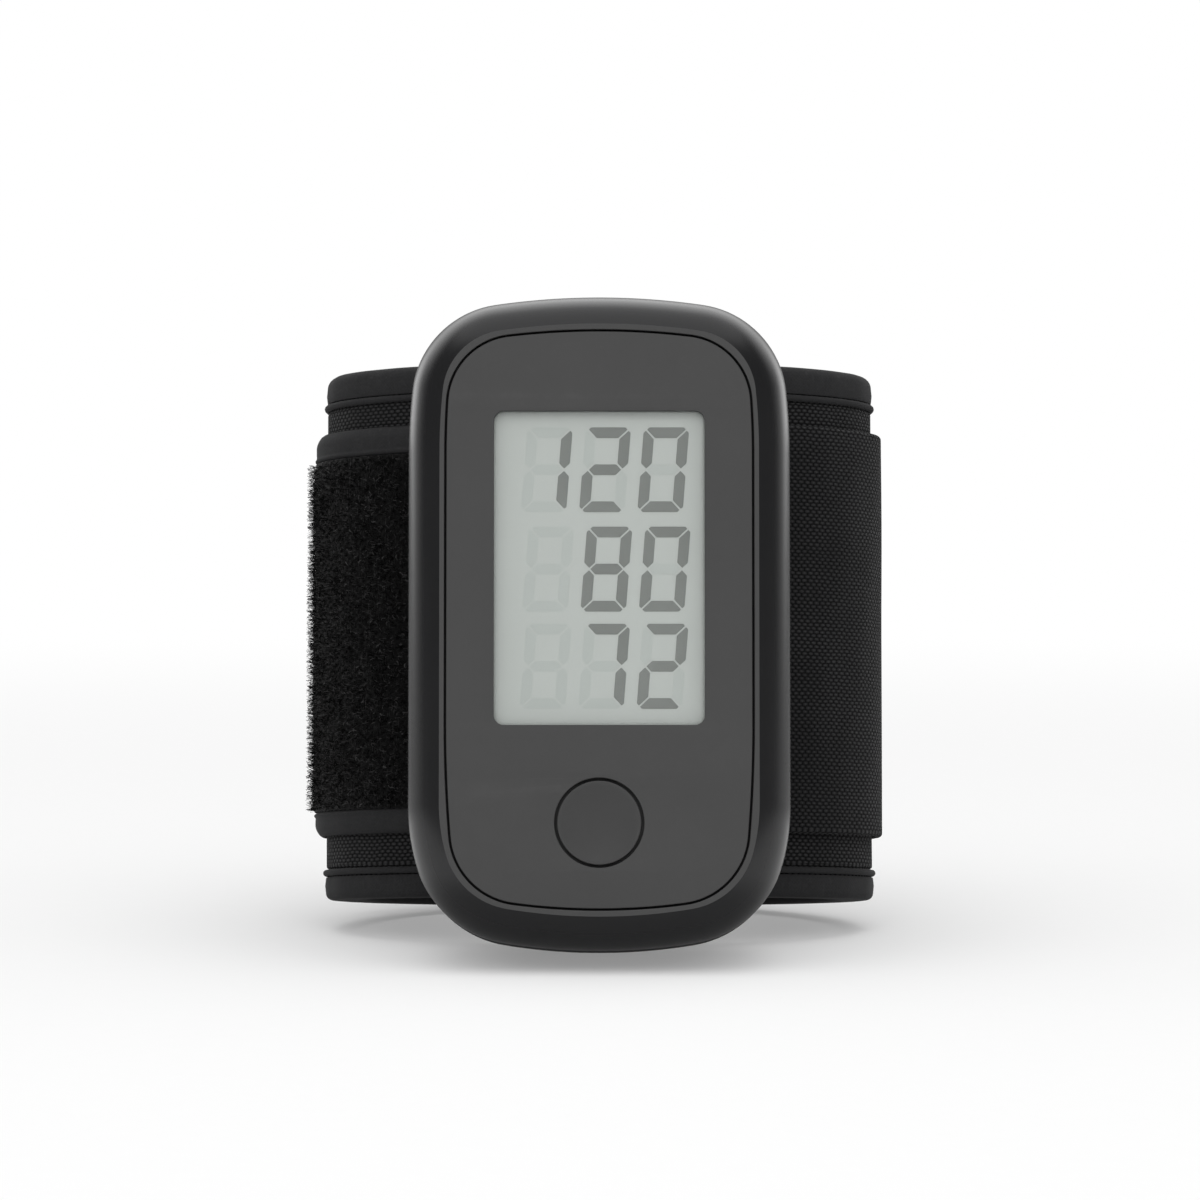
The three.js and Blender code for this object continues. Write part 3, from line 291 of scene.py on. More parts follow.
mouldedUsual = {
    "cloud": 60.0, "grain": 2500.0, "vary": 0.06, "spread": 0.08, "wearAndHighlight": 0.2, "rubbedAndHighlit": 2.2, "lint": 0.05,
    "lintTone": tone(190, 188, 184), "roughVary": 0.04, "bump": 0.000012, "specular": 0.5,
}
flawless = {"bump": 0.0, "wearAndHighlight": 0.0, "lint": 0.0}
mouldings = {
    "shellGloss": {
        **flawless, "colour": tone(33, 33, 34), "roughness": 0.24, "roughVary": 0.015, "specular": 0.4,
        "bump": 0.000001,
    },
    "shellSatin": {
        "colour": tone(36, 37, 38), "roughness": 0.45, "specular": 0.35, "bump": 0.00001,
        "wearAndHighlight": 0.15, "lint": 0.04,
    },
    "panelPaint": {
        "colour": tone(74, 74, 74), "roughness": 0.55, "specular": 0.2, "vary": 0.025, "bump": 0.000008,
        "wearAndHighlight": 0.1, "lint": 0.02,
    },
    "buttonPaint": {
        "colour": tone(70, 70, 70), "roughness": 0.5, "specular": 0.25, "vary": 0.025, "bump": 0.000008,
        "lint": 0.02,
    },
    "displayGlass": {
        **flawless, "colour": tone(181, 186, 182), "roughness": 0.5, "specular": 0.1, "vary": 0.012,
        "cloud": 25.0,
    },
    "digitInk": {**flawless, "colour": tone(104, 108, 104), "roughness": 0.5, "specular": 0.1, "vary": 0.01},
    "ghostInk": {**flawless, "colour": tone(173, 179, 175), "roughness": 0.5, "specular": 0.1, "vary": 0.01},
    "whiteMoulding": {"colour": tone(222, 222, 216), "roughness": 0.5, "wearAndHighlight": 0.0},
    "blackMoulding": {"colour": tone(28, 28, 29), "roughness": 0.42, "bump": 0.00002},
    "softRubber": {
        "colour": tone(40, 40, 41), "roughness": 0.75, "bump": 0.00003, "lint": 0.25, "specular": 0.3,
    },
    "bladderFilm": {"colour": tone(200, 196, 186), "roughness": 0.4, "vary": 0.1},
}


def wovenFinish(name, value):
    tree, shader = startFinish(name)
    place = clothPlace(tree)
    weave = addGroup(tree, plainWeave, {"Cloth": place, "Across": value["across"], "Along": value["along"]})
    streaks = addGroup(tree, fibreStreaks, {"Cloth": place, "Fibre Scale": value["fibre"]})["Streak"]
    cloud = addGroup(tree, fineMottle, {"Cloud Scale": value["cloud"]})["Cloud"]
    lint = addGroup(tree, settledLint, {"Amount": value["lint"], "Fleck Scale": value["fleck"]})["Lint"]
    crown = mathNode(tree, "MULTIPLY", weave["Crown"], mathNode(tree, "MULTIPLY_ADD", cloud, 0.5, 0.5))
    base = mixColours(tree, crown, value["dark"], value["light"])
    shade = mathNode(tree, "MULTIPLY", streaks, value["streak"])
    base = mixColours(tree, shade, base, shaded(value["light"], 1.3))
    base = mixColours(tree, lint, base, value["lintTone"])
    surface = {
        "Base Color": base, "Specular IOR Level": value["specular"],
        "Roughness": rangeNode(tree, weave["Crown"], 0.0, 1.0, value["gapRoughness"], value["roughness"]),
        "Sheen Weight": value["sheen"], "Sheen Roughness": 0.5,
    }
    setShader(tree, shader, surface, weave["Height"], value["bump"])


wovenUsual = {
    "dark": tone(3, 3, 4), "across": 0.92, "along": 0.49, "bump": 0.00022, "roughness": 0.8,
    "gapRoughness": 0.95, "fibre": 3.0, "streak": 0.08, "cloud": 90.0, "lint": 0.06, "fleck": 1400.0,
    "lintTone": tone(120, 120, 120), "specular": 0.18, "sheen": 0.05,
}
weaves = {"coverWeave": {"light": tone(56, 56, 57)}, "strapWeave": {"light": tone(52, 52, 53)}}


def knitFinish(name, value):
    # smooth tape, knitted lining or brushed base: fine ribs with fibres over them
    tree, shader = startFinish(name)
    place = clothPlace(tree)
    split = splitVector(tree, place)
    ribs, rows = wave(tree, split["X"], value["rib"]), wave(tree, split["Y"], value["row"])
    cloth = rangeNode(tree, mathNode(tree, "MULTIPLY", ribs, rows), -1.0, 1.0)
    streaks = addGroup(tree, fibreStreaks, {"Cloth": place, "Fibre Scale": value["fibre"]})["Streak"]
    mottle = addGroup(tree, fineMottle, {"Cloud Scale": value["cloud"], "Grain Scale": value["grain"]})
    lint = addGroup(tree, settledLint, {"Amount": value["lint"], "Fleck Scale": value["fleck"]})["Lint"]
    mixed = mathNode(tree, "MULTIPLY_ADD", streaks, 0.5, mathNode(tree, "MULTIPLY", cloth, 0.25))
    mixed = mathNode(tree, "MULTIPLY_ADD", mottle["Cloud"], 0.25, mixed)
    base = mixColours(tree, mixed, value["dark"], value["light"])
    base = mixColours(tree, lint, base, value["lintTone"])
    rough, spread = value["roughness"], value["roughVary"]
    surface = {
        "Base Color": base, "Roughness": roughFrom(tree, mottle["Grain"], rough - spread, rough + spread),
        "Specular IOR Level": value["specular"], "Sheen Weight": value["sheen"], "Sheen Roughness": 0.5,
    }
    height = mathNode(tree, "MULTIPLY_ADD", cloth, 0.5, mathNode(tree, "MULTIPLY", streaks, 0.5))
    setShader(tree, shader, surface, height, value["bump"])


knittedUsual = {
    "fibre": 3.0, "cloud": 120.0, "grain": 5000.0, "lint": 0.12, "fleck": 1400.0,
    "lintTone": tone(120, 120, 120), "roughVary": 0.05, "specular": 0.25, "sheen": 0.1,
}
knits = {
    "bindingTape": {
        "dark": tone(33, 33, 34), "light": tone(47, 47, 48), "rib": 0.5, "row": 0.5, "bump": 0.00002,
        "roughness": 0.85, "sheen": 0.02,
    },
    "liningKnit": {
        "dark": tone(24, 24, 25), "light": tone(52, 52, 54), "rib": 0.9, "row": 0.7, "bump": 0.00006,
        "roughness": 0.9, "sheen": 0.15,
    },
    "pileGround": {
        "dark": tone(2, 2, 2), "light": tone(9, 9, 9), "rib": 1.3, "row": 1.1, "bump": 0.0002,
        "roughness": 0.95, "fibre": 2.0,
    },
}


def fibreFinish(name, value):
    # single loops and hooks: each strand has its own tone, carried by the cloth map
    tree, shader = startFinish(name)
    pick = noiseNode(tree, clothPlace(tree), value["scale"], detail=0.0)
    base = mixColours(tree, rangeNode(tree, pick, value["from"], value["to"]), value["dark"], value["light"])
    rough = roughFrom(tree, pick, 0.5, 0.75)
    setShader(tree, shader, {"Base Color": base, "Roughness": rough, "Specular IOR Level": value["specular"]})


fibreUsual = {"scale": 60.0, "to": 0.72}
fibres = {
    "pileStrand": {"dark": tone(2, 2, 2), "light": tone(80, 80, 80), "from": 0.54, "specular": 0.1},
    "hookFilm": {"dark": tone(22, 22, 22), "light": tone(44, 44, 45), "from": 0.3, "specular": 0.4},
}


def clearFinish(name, value):
    tree, shader = startFinish(name)
    cloud = addGroup(tree, fineMottle, {"Cloud Scale": value["cloud"]})["Cloud"]
    rough, alpha = value["roughness"], value["alpha"]
    surface = {
        "Base Color": value["colour"], "Specular IOR Level": value["specular"],
        "Roughness": rangeNode(tree, cloud, 0.0, 1.0, rough, rough + value["roughVary"]),
        "Alpha": rangeNode(tree, cloud, 0.0, 1.0, alpha, alpha + value["alphaVary"]),
    }
    setShader(tree, shader, surface)


clears = {
    "lensClear": {
        "colour": tone(240, 244, 242), "cloud": 80.0, "roughness": 0.06, "roughVary": 0.05,
        "alpha": 0.05, "alphaVary": 0.02, "specular": 0.3,
    },
}


def metalFinish(name, value):
    tree, shader = startFinish(name)
    mottle = addGroup(tree, fineMottle, {"Cloud Scale": value["cloud"], "Grain Scale": value["grain"]})
    base = mixColours(tree, mottle["Cloud"], shaded(value["colour"], value["cloudShade"]), value["colour"])
    rough = roughFrom(tree, mottle["Grain"], *value["roughness"])
    surface = {"Base Color": base, "Roughness": rough, "Metallic": 1.0}
    setShader(tree, shader, surface, mottle["Grain"], value["bump"])


metals = {
    "brightSteel": {
        "colour": tone(196, 197, 198), "cloudShade": 0.85, "roughness": (0.22, 0.4),
        "cloud": 250.0, "grain": 4000.0, "bump": 0.000008,
    },
}


def upright(tree, turn):
    # object places turned about the x axis
    inputs = {"Vector": objectPlace(tree), "Rotation": (math.radians(turn), 0.0, 0.0)}
    return addNode(tree, "Mapping", inputs).outputs["Vector"]


def boardFinish(name, value):
    # solder mask with copper tracks showing through as paler green lines
    tree, shader = startFinish(name)
    place = upright(tree, 90 - stance["lean"])
    inputs = {"Vector": place, "Scale": value["scale"], "Mortar Size": value["gap"]}
    bricks = addNode(tree, "TexBrick", inputs).outputs["Fac"]
    mottle = addGroup(tree, fineMottle)
    base = mixColours(tree, bricks, value["colour"], value["track"])
    shade = mathNode(tree, "MULTIPLY", mottle["Cloud"], value["shade"])
    base = mixColours(tree, shade, base, shaded(value["colour"], 0.6))
    rough = roughFrom(tree, mottle["Grain"], *value["roughness"])
    setShader(tree, shader, {"Base Color": base, "Roughness": rough}, bricks, value["bump"])


boards = {
    "boardGreen": {
        "colour": tone(24, 84, 50), "track": tone(58, 122, 74), "scale": 260.0, "gap": 0.06, "shade": 0.3,
        "roughness": (0.3, 0.42), "bump": 0.00003,
    },
}


def stripedFinish(name, value):
    # straight stripes along an axis of the leaned part, for the rubber connectors and the cells
    tree, shader = startFinish(name)
    along = splitVector(tree, upright(tree, stance["lean"]))[value["axis"]]
    edge, soft = value["edge"], value["soft"]
    mask = fade(tree, wave(tree, along, value["pitch"]), edge - soft, edge + soft)
    mottle = addGroup(tree, fineMottle)
    base = mixColours(tree, mask, value["first"], value["second"])
    shade = mathNode(tree, "MULTIPLY", mottle["Cloud"], value["shade"])
    base = mixColours(tree, shade, base, shaded(value["first"], 0.6))
    rough, spread = value["roughness"], value["roughVary"]
    rough = roughFrom(tree, mottle["Grain"], rough - spread, rough + spread)
    setShader(tree, shader, {"Base Color": base, "Roughness": rough}, mottle["Grain"], value["bump"])


stripedUsual = {"edge": 0.0, "soft": 0.1, "shade": 0.2, "roughVary": 0.05, "bump": 0.000008}
stripes = {
    "cellJacket": {
        "axis": "Z", "pitch": 0.09, "edge": 0.55, "first": tone(52, 64, 82), "second": tone(150, 152, 156),
        "roughness": 0.35,
    },
    "zebraRubber": {
        "axis": "X", "pitch": 0.0006, "first": tone(38, 38, 38), "second": tone(206, 190, 178),
        "roughness": 0.7,
    },
}

for make, usual, kinds in (
    (mouldedFinish, mouldedUsual, mouldings), (wovenFinish, wovenUsual, weaves),
    (knitFinish, knittedUsual, knits), (fibreFinish, fibreUsual, fibres), (clearFinish, {}, clears),
    (metalFinish, {}, metals), (boardFinish, {}, boards), (stripedFinish, stripedUsual, stripes),
):
    for name, own in kinds.items():
        make(name, {**usual, **own})
print("finishes built:", len(finishes))


# Drawing helpers

easeShare = 0.3  # how far along a worked edge its middle point lies


def addObject(name, data):
    obj = bpy.data.objects.new(name, data)
    bpy.context.scene.collection.objects.link(obj)
    return obj


def softenEdges(obj, degrees):
    shape = bmesh.new()
    shape.from_mesh(obj.data)
    bmesh.ops.recalc_face_normals(shape, faces=shape.faces)
    for face in shape.faces:
        face.smooth = True
    for edge in shape.edges:
        if len(edge.link_faces) == 2:
            edge.smooth = edge.calc_face_angle() < math.radians(degrees)
    shape.to_mesh(obj.data)
    shape.free()


def addMesh(name, points, faces, finish, cloth=None, faceFinish=None, sharp=35):
    mesh = bpy.data.meshes.new(name)
    mesh.from_pydata([standing @ Vector(p) for p in points], [], faces)
    for one in [finish] if isinstance(finish, str) else finish:
        mesh.materials.append(finishes[one])
    if faceFinish:
        mesh.polygons.foreach_set("material_index", faceFinish)
    if cloth:
        layer = mesh.uv_layers.new(name="cloth")
        layer.data.foreach_set("uv", [value for pair in cloth for value in pair])
    obj = addObject(name, mesh)
    softenEdges(obj, sharp)
    return obj


def fitPiece(obj, body, slot, *nodes):
    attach(obj, body)
    if nodes:
        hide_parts(*nodes)
    return obj


def quad(first, second, i, j):
    return (first + i, first + j, second + j, second + i)


def loft(rings, closed=False, caps=True):
    points = [point for ring in rings for point in ring]
    count = len(rings[0])
    faces = []
    for row in range(len(rings) if closed else len(rings) - 1):
        first, second = row * count, (row + 1) % len(rings) * count
        faces += [quad(first, second, i, (i + 1) % count) for i in range(count)]
    if caps and not closed:
        faces.append(tuple(reversed(range(count))))
        faces.append(tuple(range(len(points) - count, len(points))))
    return points, faces


def arcPoints(centre, radius, start, end, steps):
    angles = [start + (end - start) * i / steps for i in range(steps + 1)]
    return [(centre[0] + radius * math.cos(a), centre[1] + radius * math.sin(a)) for a in angles]


def quarterAngles(steps, first=0):
    return [quarterTurn * i / steps for i in range(first, steps + 1)]


outlineSteps = {"side": 8, "corner": 20, "crown": 24, "box": 8}


def halfOutline(halfWidth, halfHeight, arcs, inset):
    # side, corner and crown of the upper half, from right to left
    crown, corner, side, straight = arcs
    crownCentre = Vector((0, halfHeight - crown))
    sideCentre = Vector((halfWidth - side, straight))
    across = sideCentre - crownCentre
    span = across.length
    along = ((crown - corner) ** 2 - (side - corner) ** 2 + span ** 2) / (2 * span)
    unit = across.normalized()
    aside = math.sqrt((crown - corner) ** 2 - along ** 2)
    centre = crownCentre + unit * along + Vector((unit.y, -unit.x)) * aside
    sideEnd = math.atan2(*(centre - sideCentre).yx)
    crownEnd = math.atan2(*(centre - crownCentre).yx)
    right = arcPoints(sideCentre, side - inset, 0, sideEnd, outlineSteps["side"])
    right += arcPoints(centre, corner - inset, sideEnd, crownEnd, outlineSteps["corner"])[1:]
    top = arcPoints(crownCentre, crown - inset, crownEnd, math.pi - crownEnd, outlineSteps["crown"])[1:-1]
    return right + top + [(-x, z) for x, z in reversed(right)]


def tallOutline(size, inset=0.0):
    upper = halfOutline(size["halfWidth"], size["halfHeight"], size["upperArcs"], inset)
    lower = halfOutline(size["halfWidth"], size["halfHeight"], size["lowerArcs"], inset)
    return upper + [(x, -z) for x, z in reversed(lower)]


def boxOutline(width, height, corner, middle=0.0, inset=0.0):
    x, z, r = width / 2 - corner, height / 2 - corner, corner - inset
    points = []
    for i, (cx, cz) in enumerate(((x, z), (-x, z), (-x, -z), (x, -z))):
        points += arcPoints((cx, cz + middle), r, i * quarterTurn, (i + 1) * quarterTurn, outlineSteps["box"])
    return points


def circleOutline(radius, x=0.0, z=0.0, inset=0.0, sides=72):
    return arcPoints((x, z), radius - inset, 0, fullTurn, sides)[:-1]


def plateMesh(loops, front, back, edge, steps=3):
    # a plate with rounded edges; the first loop is the outside and the rest are holes
    angles = [i / steps * quarterTurn for i in range(steps + 1)]
    layers = [(edge * (1 - math.sin(a)), front + edge * (1 - math.cos(a))) for a in angles]
    layers += [(inset, front + back - y) for inset, y in reversed(layers)]
    points, faces, faceRings, backRings = [], [], [], []
    for number, loop in enumerate(loops):
        side = 1 if number == 0 else -1
        rings = [[(x, y, z) for x, z in loop(side * inset)] for inset, y in layers]
        start = len(points)
        ringPoints, ringFaces = loft(rings, caps=False)
        points += ringPoints
        faces += [tuple(i + start for i in face) for face in ringFaces]
        count = len(rings[0])
        faceRings.append(list(range(start, start + count)))
        backRings.append(list(range(len(points) - count, len(points))))
    for rings in (faceRings, backRings):
        flat = [[Vector((points[i][0], points[i][2], 0)) for i in ring] for ring in rings]
        order = [i for ring in rings for i in ring]
        faces += [tuple(order[i] for i in triangle) for triangle in tessellate_polygon(flat)]
    return points, faces


def turnedMesh(profile, x, z, sides=96):
    # profile of (radius, depth) pairs turned about the depth axis; a radius of nought closes it
    angles = [fullTurn * i / sides for i in range(sides)]
    points, faces, rings = [], [], []
    for radius, y in profile:
        ring = [(x + radius * math.cos(a), y, z + radius * math.sin(a)) for a in angles]
        ring = ring if radius else [(x, y, z)]
        rings.append(list(range(len(points), len(points) + len(ring))))
        points += ring
    for first, second in zip(rings, rings[1:]):
        for i in range(sides):
            j = (i + 1) % sides
            corners = [first[k % len(first)] for k in (i, j)] + [second[k % len(second)] for k in (j, i)]
            faces.append(tuple(dict.fromkeys(corners)))
    return points, faces


def applyTools(obj, tools, bevel=0.0, sharp=35):
    # cuts the tools out of the piece, rounds the new edges and keeps the result as plain mesh
    for tool in tools:
        cutter = obj.modifiers.new("cut", "BOOLEAN")
        cutter.operation = "DIFFERENCE"
        cutter.solver = "EXACT"
        cutter.object = tool
    if bevel:
        rounding = obj.modifiers.new("round", "BEVEL")
        rounding.width = bevel * millimetre
        rounding.segments = 2
        rounding.limit_method = "ANGLE"
        rounding.angle_limit = math.radians(45)
        rounding.use_clamp_overlap = True
    bpy.context.view_layer.update()
    ready = obj.evaluated_get(bpy.context.evaluated_depsgraph_get())
    finished = bpy.data.meshes.new_from_object(ready)
    obj.modifiers.clear()
    obj.data = finished
    for tool in tools:
        bpy.data.objects.remove(tool)
    softenEdges(obj, sharp)
    return obj


def boxTool(x, y, z):
    points = [(a, b, c) for a in x for b in y for c in z]
    faces = [(0, 1, 3, 2), (4, 6, 7, 5), (0, 4, 5, 1), (2, 3, 7, 6), (0, 2, 6, 4), (1, 5, 7, 3)]
    return addMesh("tool", points, faces, "blackMoulding")


def rodTool(radius, y, x, z):
    profile = [(0, y[0]), (radius, y[0]), (radius, y[1]), (0, y[1])]
    return addMesh("tool", *turnedMesh(profile, x, z, sides=40), "blackMoulding")


def refinedNode(name, finish, body, slot, bevel):
    # the CAD node's own shape with its edges eased
    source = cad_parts[name].data
    mesh = bpy.data.meshes.new(name + "Eased")
    faces = [tuple(p.vertices) for p in source.polygons]
    mesh.from_pydata([v.co.copy() for v in source.vertices], [], faces)
    mesh.materials.append(finishes[finish])
    obj = addObject(name + "Eased", mesh)
    weldDistance, flatAngle = 2e-6, math.radians(1.0)
    shape = bmesh.new()
    shape.from_mesh(mesh)
    bmesh.ops.remove_doubles(shape, verts=shape.verts, dist=weldDistance)
    bmesh.ops.dissolve_limit(shape, angle_limit=flatAngle, verts=shape.verts, edges=shape.edges)
    shape.to_mesh(mesh)
    shape.free()
    applyTools(obj, [], bevel)
    return fitPiece(obj, body, slot, name)


# Case

case = {
    "halfWidth": 24.81, "halfHeight": 42.5,
    "upperArcs": (93.5, 12.75, 80.7, 21.8), "lowerArcs": (76.7, 14.0, 28.9, 23.7),
    "slopeWidth": 4.2, "slopeDepth": 7.0, "slopeSteps": 18, "creaseAngle": 20.0,
    "frontDepth": 11.0, "rearFront": 11.3, "back": 26.0, "rearRound": 2.0, "rearSteps": 8, "rearEase": 0.12,
    "edge": 0.14, "wall": 2.4, "rearWall": 1.8, "rearWallFace": 24.3, "ledge": (1.5, 3.1), "ledgeWidth": 1.0,
    "bayMouth": ((22.0, 60.0), (10.0, 23.2), (-27.5, 24.9)),
    "screwWell": (24.0, 27.0), "through": (20.0, 27.0),
    "wellRadius": 2.3, "shankRadius": 1.3, "saddleRadius": 1.1, "doorEase": 0.12, "saddleEase": 0.25,
}
panel = {
    "halfWidth": 19.7, "halfHeight": 37.25,
    "upperArcs": (99.6, 8.82, 106.8, 21.5), "lowerArcs": (83.7, 9.32, 178.0, 13.4),
    "groove": 0.3, "edge": 0.12, "thickness": 1.2,
}
window = {"width": 27.2, "height": 40.6, "corner": 1.3, "middle": 6.64}
button = {
    "radius": 5.4, "groove": 0.4, "middle": -26.25, "dish": 0.85, "dishSteps": 14, "edge": 0.16,
    "flange": 6.6, "wall": 1.5, "flangeBack": 2.6, "post": 1.6, "postBack": 2.7,
}
nipple = {"x": -3.19, "z": -16.0, "hole": 2.1}


def fourPlaces(across, up):
    return [(x, z) for x in (-across, across) for z in (-up, up)]


screws = {
    "case": {
        "places": fourPlaces(18.21, 33.95), "radius": 1.0, "head": 2.0,
        "face": 25.5, "headBack": 24.3, "tip": 6.0,
    },
    "saddle": {
        "places": fourPlaces(12.0, 27.6), "radius": 0.8, "head": 1.7,
        "face": 23.0, "headBack": 24.0, "tip": 27.0,
    },
    "board": {
        "places": [(-18.9, 20.0), (18.9, -20.0)], "radius": 0.7, "head": 1.5,
        "face": 9.6, "headBack": 8.7, "tip": 4.5,
    },
}


def caseRing(inset, y):
    return [(x, y, z) for x, z in tallOutline(case, inset)]


def panelRing(outset, y):
    return [(x, y, z) for x, z in tallOutline(panel, -outset)]


def buildFrontShell():
    # groove wall, flat land, crease, rounded slope, side, parting edge, then back inside
    edge, depth, wall = case["edge"], case["frontDepth"], case["wall"]
    groove, ease = panel["groove"], panel["edge"]
    ledgeFront, ledgeBack = case["ledge"]
    rings = [panelRing(groove, ledgeFront), panelRing(groove, ease)]
    rings += [panelRing(groove + ease * easeShare, ease * easeShare), panelRing(groove + ease, 0)]
    landEnd = len(rings)
    steps, start = case["slopeSteps"], math.radians(case["creaseAngle"])
    for i in range(steps + 1):
        angle = start + (quarterTurn - start) * i / steps
        inset = case["slopeWidth"] * (1 - (math.sin(angle) - math.sin(start)) / (1 - math.sin(start)))
        fall = case["slopeDepth"] * (math.cos(start) - math.cos(angle)) / math.cos(start)
        rings.append(caseRing(inset, fall))
    rings += [caseRing(0, depth - edge), caseRing(edge * easeShare, depth - edge * easeShare)]
    rings += [caseRing(edge, depth), caseRing(wall, depth), caseRing(wall, ledgeBack)]
    rings += [panelRing(groove - case["ledgeWidth"], y) for y in (ledgeBack, ledgeFront)]
    points, faces = loft(rings, closed=True)
    kinds = [1 if face // len(rings[0]) < landEnd else 0 for face in range(len(faces))]
    shell = addMesh("frontShellSkin", points, faces, ["shellGloss", "panelPaint"], faceFinish=kinds, sharp=14)
    return fitPiece(shell, "monitor", "case", "front_shell")


def buildRearShell():
    edge, front, rounding = case["edge"], case["rearFront"], case["rearRound"]
    rings = [caseRing(case["rearWall"], y) for y in (case["rearWallFace"], front)] + [caseRing(edge, front)]
    rings += [caseRing(edge * easeShare, front + edge * easeShare), caseRing(0, front + edge)]
    for i in range(case["rearSteps"] + 1):
        angle = i / case["rearSteps"] * math.pi / 2
        y = case["back"] - rounding * (1 - math.sin(angle))
        rings.append(caseRing(rounding * (1 - math.cos(angle)), y))
    shell = addMesh("rearShellSkin", *loft(rings), "shellSatin")
    tools = [boxTool(*case["bayMouth"])]
    for x, z in screws["case"]["places"]:
        tools.append(rodTool(case["wellRadius"], case["screwWell"], x, z))
        tools.append(rodTool(case["shankRadius"], case["through"], x, z))
    for x, z in screws["saddle"]["places"]:
        tools.append(rodTool(case["saddleRadius"], case["through"], x, z))
    tools.append(rodTool(nipple["hole"], case["through"], nipple["x"], nipple["z"]))
    applyTools(shell, tools, case["rearEase"])
    return fitPiece(shell, "monitor", "case", "rear_shell")


def windowLoop(width, height):
    return lambda inset: boxOutline(width, height, window["corner"], window["middle"], inset)


def buildPanel():
    loops = [
        lambda inset: tallOutline(panel, inset),
        windowLoop(window["width"], window["height"]),
        lambda inset: circleOutline(button["radius"] + button["groove"], 0, button["middle"], inset),
    ]
    plate = addMesh("frontPanelPlate", *plateMesh(loops, 0, panel["thickness"], panel["edge"]), "panelPaint")
    return fitPiece(plate, "monitor", "panel", "front_panel")


def buildButton():
    radius, edge, dish, steps = button["radius"], button["edge"], button["dish"], button["dishSteps"]
    rim = radius - edge
    profile = [(0, dish)] + [(rim * i / steps, dish * (1 - (i / steps) ** 2)) for i in range(1, steps + 1)]
    profile += [(rim + edge * math.sin(a), edge * (1 - math.cos(a))) for a in quarterAngles(4, first=1)]
    wall, flange, flangeBack = button["wall"], button["flange"], button["flangeBack"]
    post, postBack = button["post"], button["postBack"]
    profile += [(radius, wall), (flange, wall), (flange, flangeBack)]
    profile += [(post, flangeBack), (post, postBack), (0, postBack)]
    cap = addMesh("startButtonCap", *turnedMesh(profile, 0, button["middle"]), "buttonPaint", sharp=30)
    return fitPiece(cap, "start_button", "panel", "start_button")


buildFrontShell()
buildRearShell()
buildPanel()
buildButton()
refinedNode("battery_door", "shellSatin", "battery_door", "case", case["doorEase"])
refinedNode("saddle_plate", "shellSatin", "monitor", "case", case["saddleEase"])
print("case built")


# Display

display = {
    "front": 1.5, "back": 2.6, "width": 30.0, "height": 43.05, "edge": 0.1,
    "lensFront": 0.25, "lensBack": 1.05, "lensFit": 0.2, "lensEdge": 0.12,
    "digitWidth": 5.86, "digitHeight": 11.0, "stroke": 1.39, "gap": 0.22, "chamfer": 0.28, "slant": 4.5,
    "columns": (-6.78, 0.75, 8.28), "rows": (("120", 19.43, 0.0), (" 80", 6.55, 0.18), (" 72", -6.03, -0.12)),
    "inkProud": (0.05, 0.01), "ghostProud": (0.02, 0.005),
}
strokesOf = {" ": "", "0": "abcdef", "1": "bc", "2": "abged", "7": "abc", "8": "abcdefg"}


def strokeShapes():
    # the seven strokes of one figure about its middle, mitred where they meet
    w, h, t = display["digitWidth"] / 2, display["digitHeight"] / 2, display["stroke"]
    c, d = display["chamfer"], display["gap"] / math.sqrt(2)
    top = [(-w + c + d, h - c), (-w + 2 * c + d, h), (w - 2 * c - d, h)]
    top += [(w - c - d, h - c), (w - t - d, h - t), (-w + t + d, h - t)]
    upper = [(w - c, h - c - d), (w, h - 2 * c - d), (w, t / 2 + d)]
    upper += [(w - t / 2, d), (w - t, t / 2 + d), (w - t, h - t - d)]
    middle = [(-w + t / 2 + d, 0), (-w + t + d, t / 2), (w - t - d, t / 2)]
    middle += [(w - t / 2 - d, 0), (w - t - d, -t / 2), (-w + t + d, -t / 2)]

    def mirrored(shape, x, z):
        return [(x * a, z * b) for a, b in shape]
    return {
        "a": top, "b": upper, "c": mirrored(upper, 1, -1), "d": mirrored(top, 1, -1),
        "e": mirrored(upper, -1, -1), "f": mirrored(upper, -1, 1), "g": middle,
    }


def buildFigures(name, finish, lit, proud):
    # raised strokes on the glass: the lit ones, or the others as ghosts
    points, faces = [], []
    lean = math.tan(math.radians(display["slant"]))
    for text, height, shift in display["rows"]:
        for column, figure in zip(display["columns"], text):
            for stroke, shape in strokeShapes().items():
                if (stroke in strokesOf[figure]) != lit:
                    continue
                start, count = len(points), len(shape)
                for rise in proud:
                    y = display["front"] - rise
                    points += [(column + shift + x + z * lean, y, height + z) for x, z in shape]
                faces.append(tuple(range(start, start + count)))
                faces.append(tuple(reversed(range(start + count, start + 2 * count))))
                for i in range(count):
                    j = (i + 1) % count
                    faces.append((start + i, start + count + i, start + count + j, start + j))
    return fitPiece(addMesh(name, points, faces, finish), "monitor", "lcd")


def buildDisplay():
    opening = windowLoop(window["width"], window["height"])
    front, back = display["lensFront"], display["lensBack"]
    lens = plateMesh([lambda inset: opening(inset + display["lensFit"])], front, back, display["lensEdge"])
    fitPiece(addMesh("displayLensSheet", *lens, "lensClear"), "monitor", "lens", "display_lens")
    loop = windowLoop(display["width"], display["height"])
    glass = plateMesh([loop], display["front"], display["back"], display["edge"])
    fitPiece(addMesh("displayFace", *glass, "displayGlass"), "monitor", "lcd", "lcd_front_glass")
    buildFigures("displayFigures", "digitInk", True, display["inkProud"])
    buildFigures("displayGhosts", "ghostInk", False, display["ghostProud"])


buildDisplay()
print("display built")


# Cuff

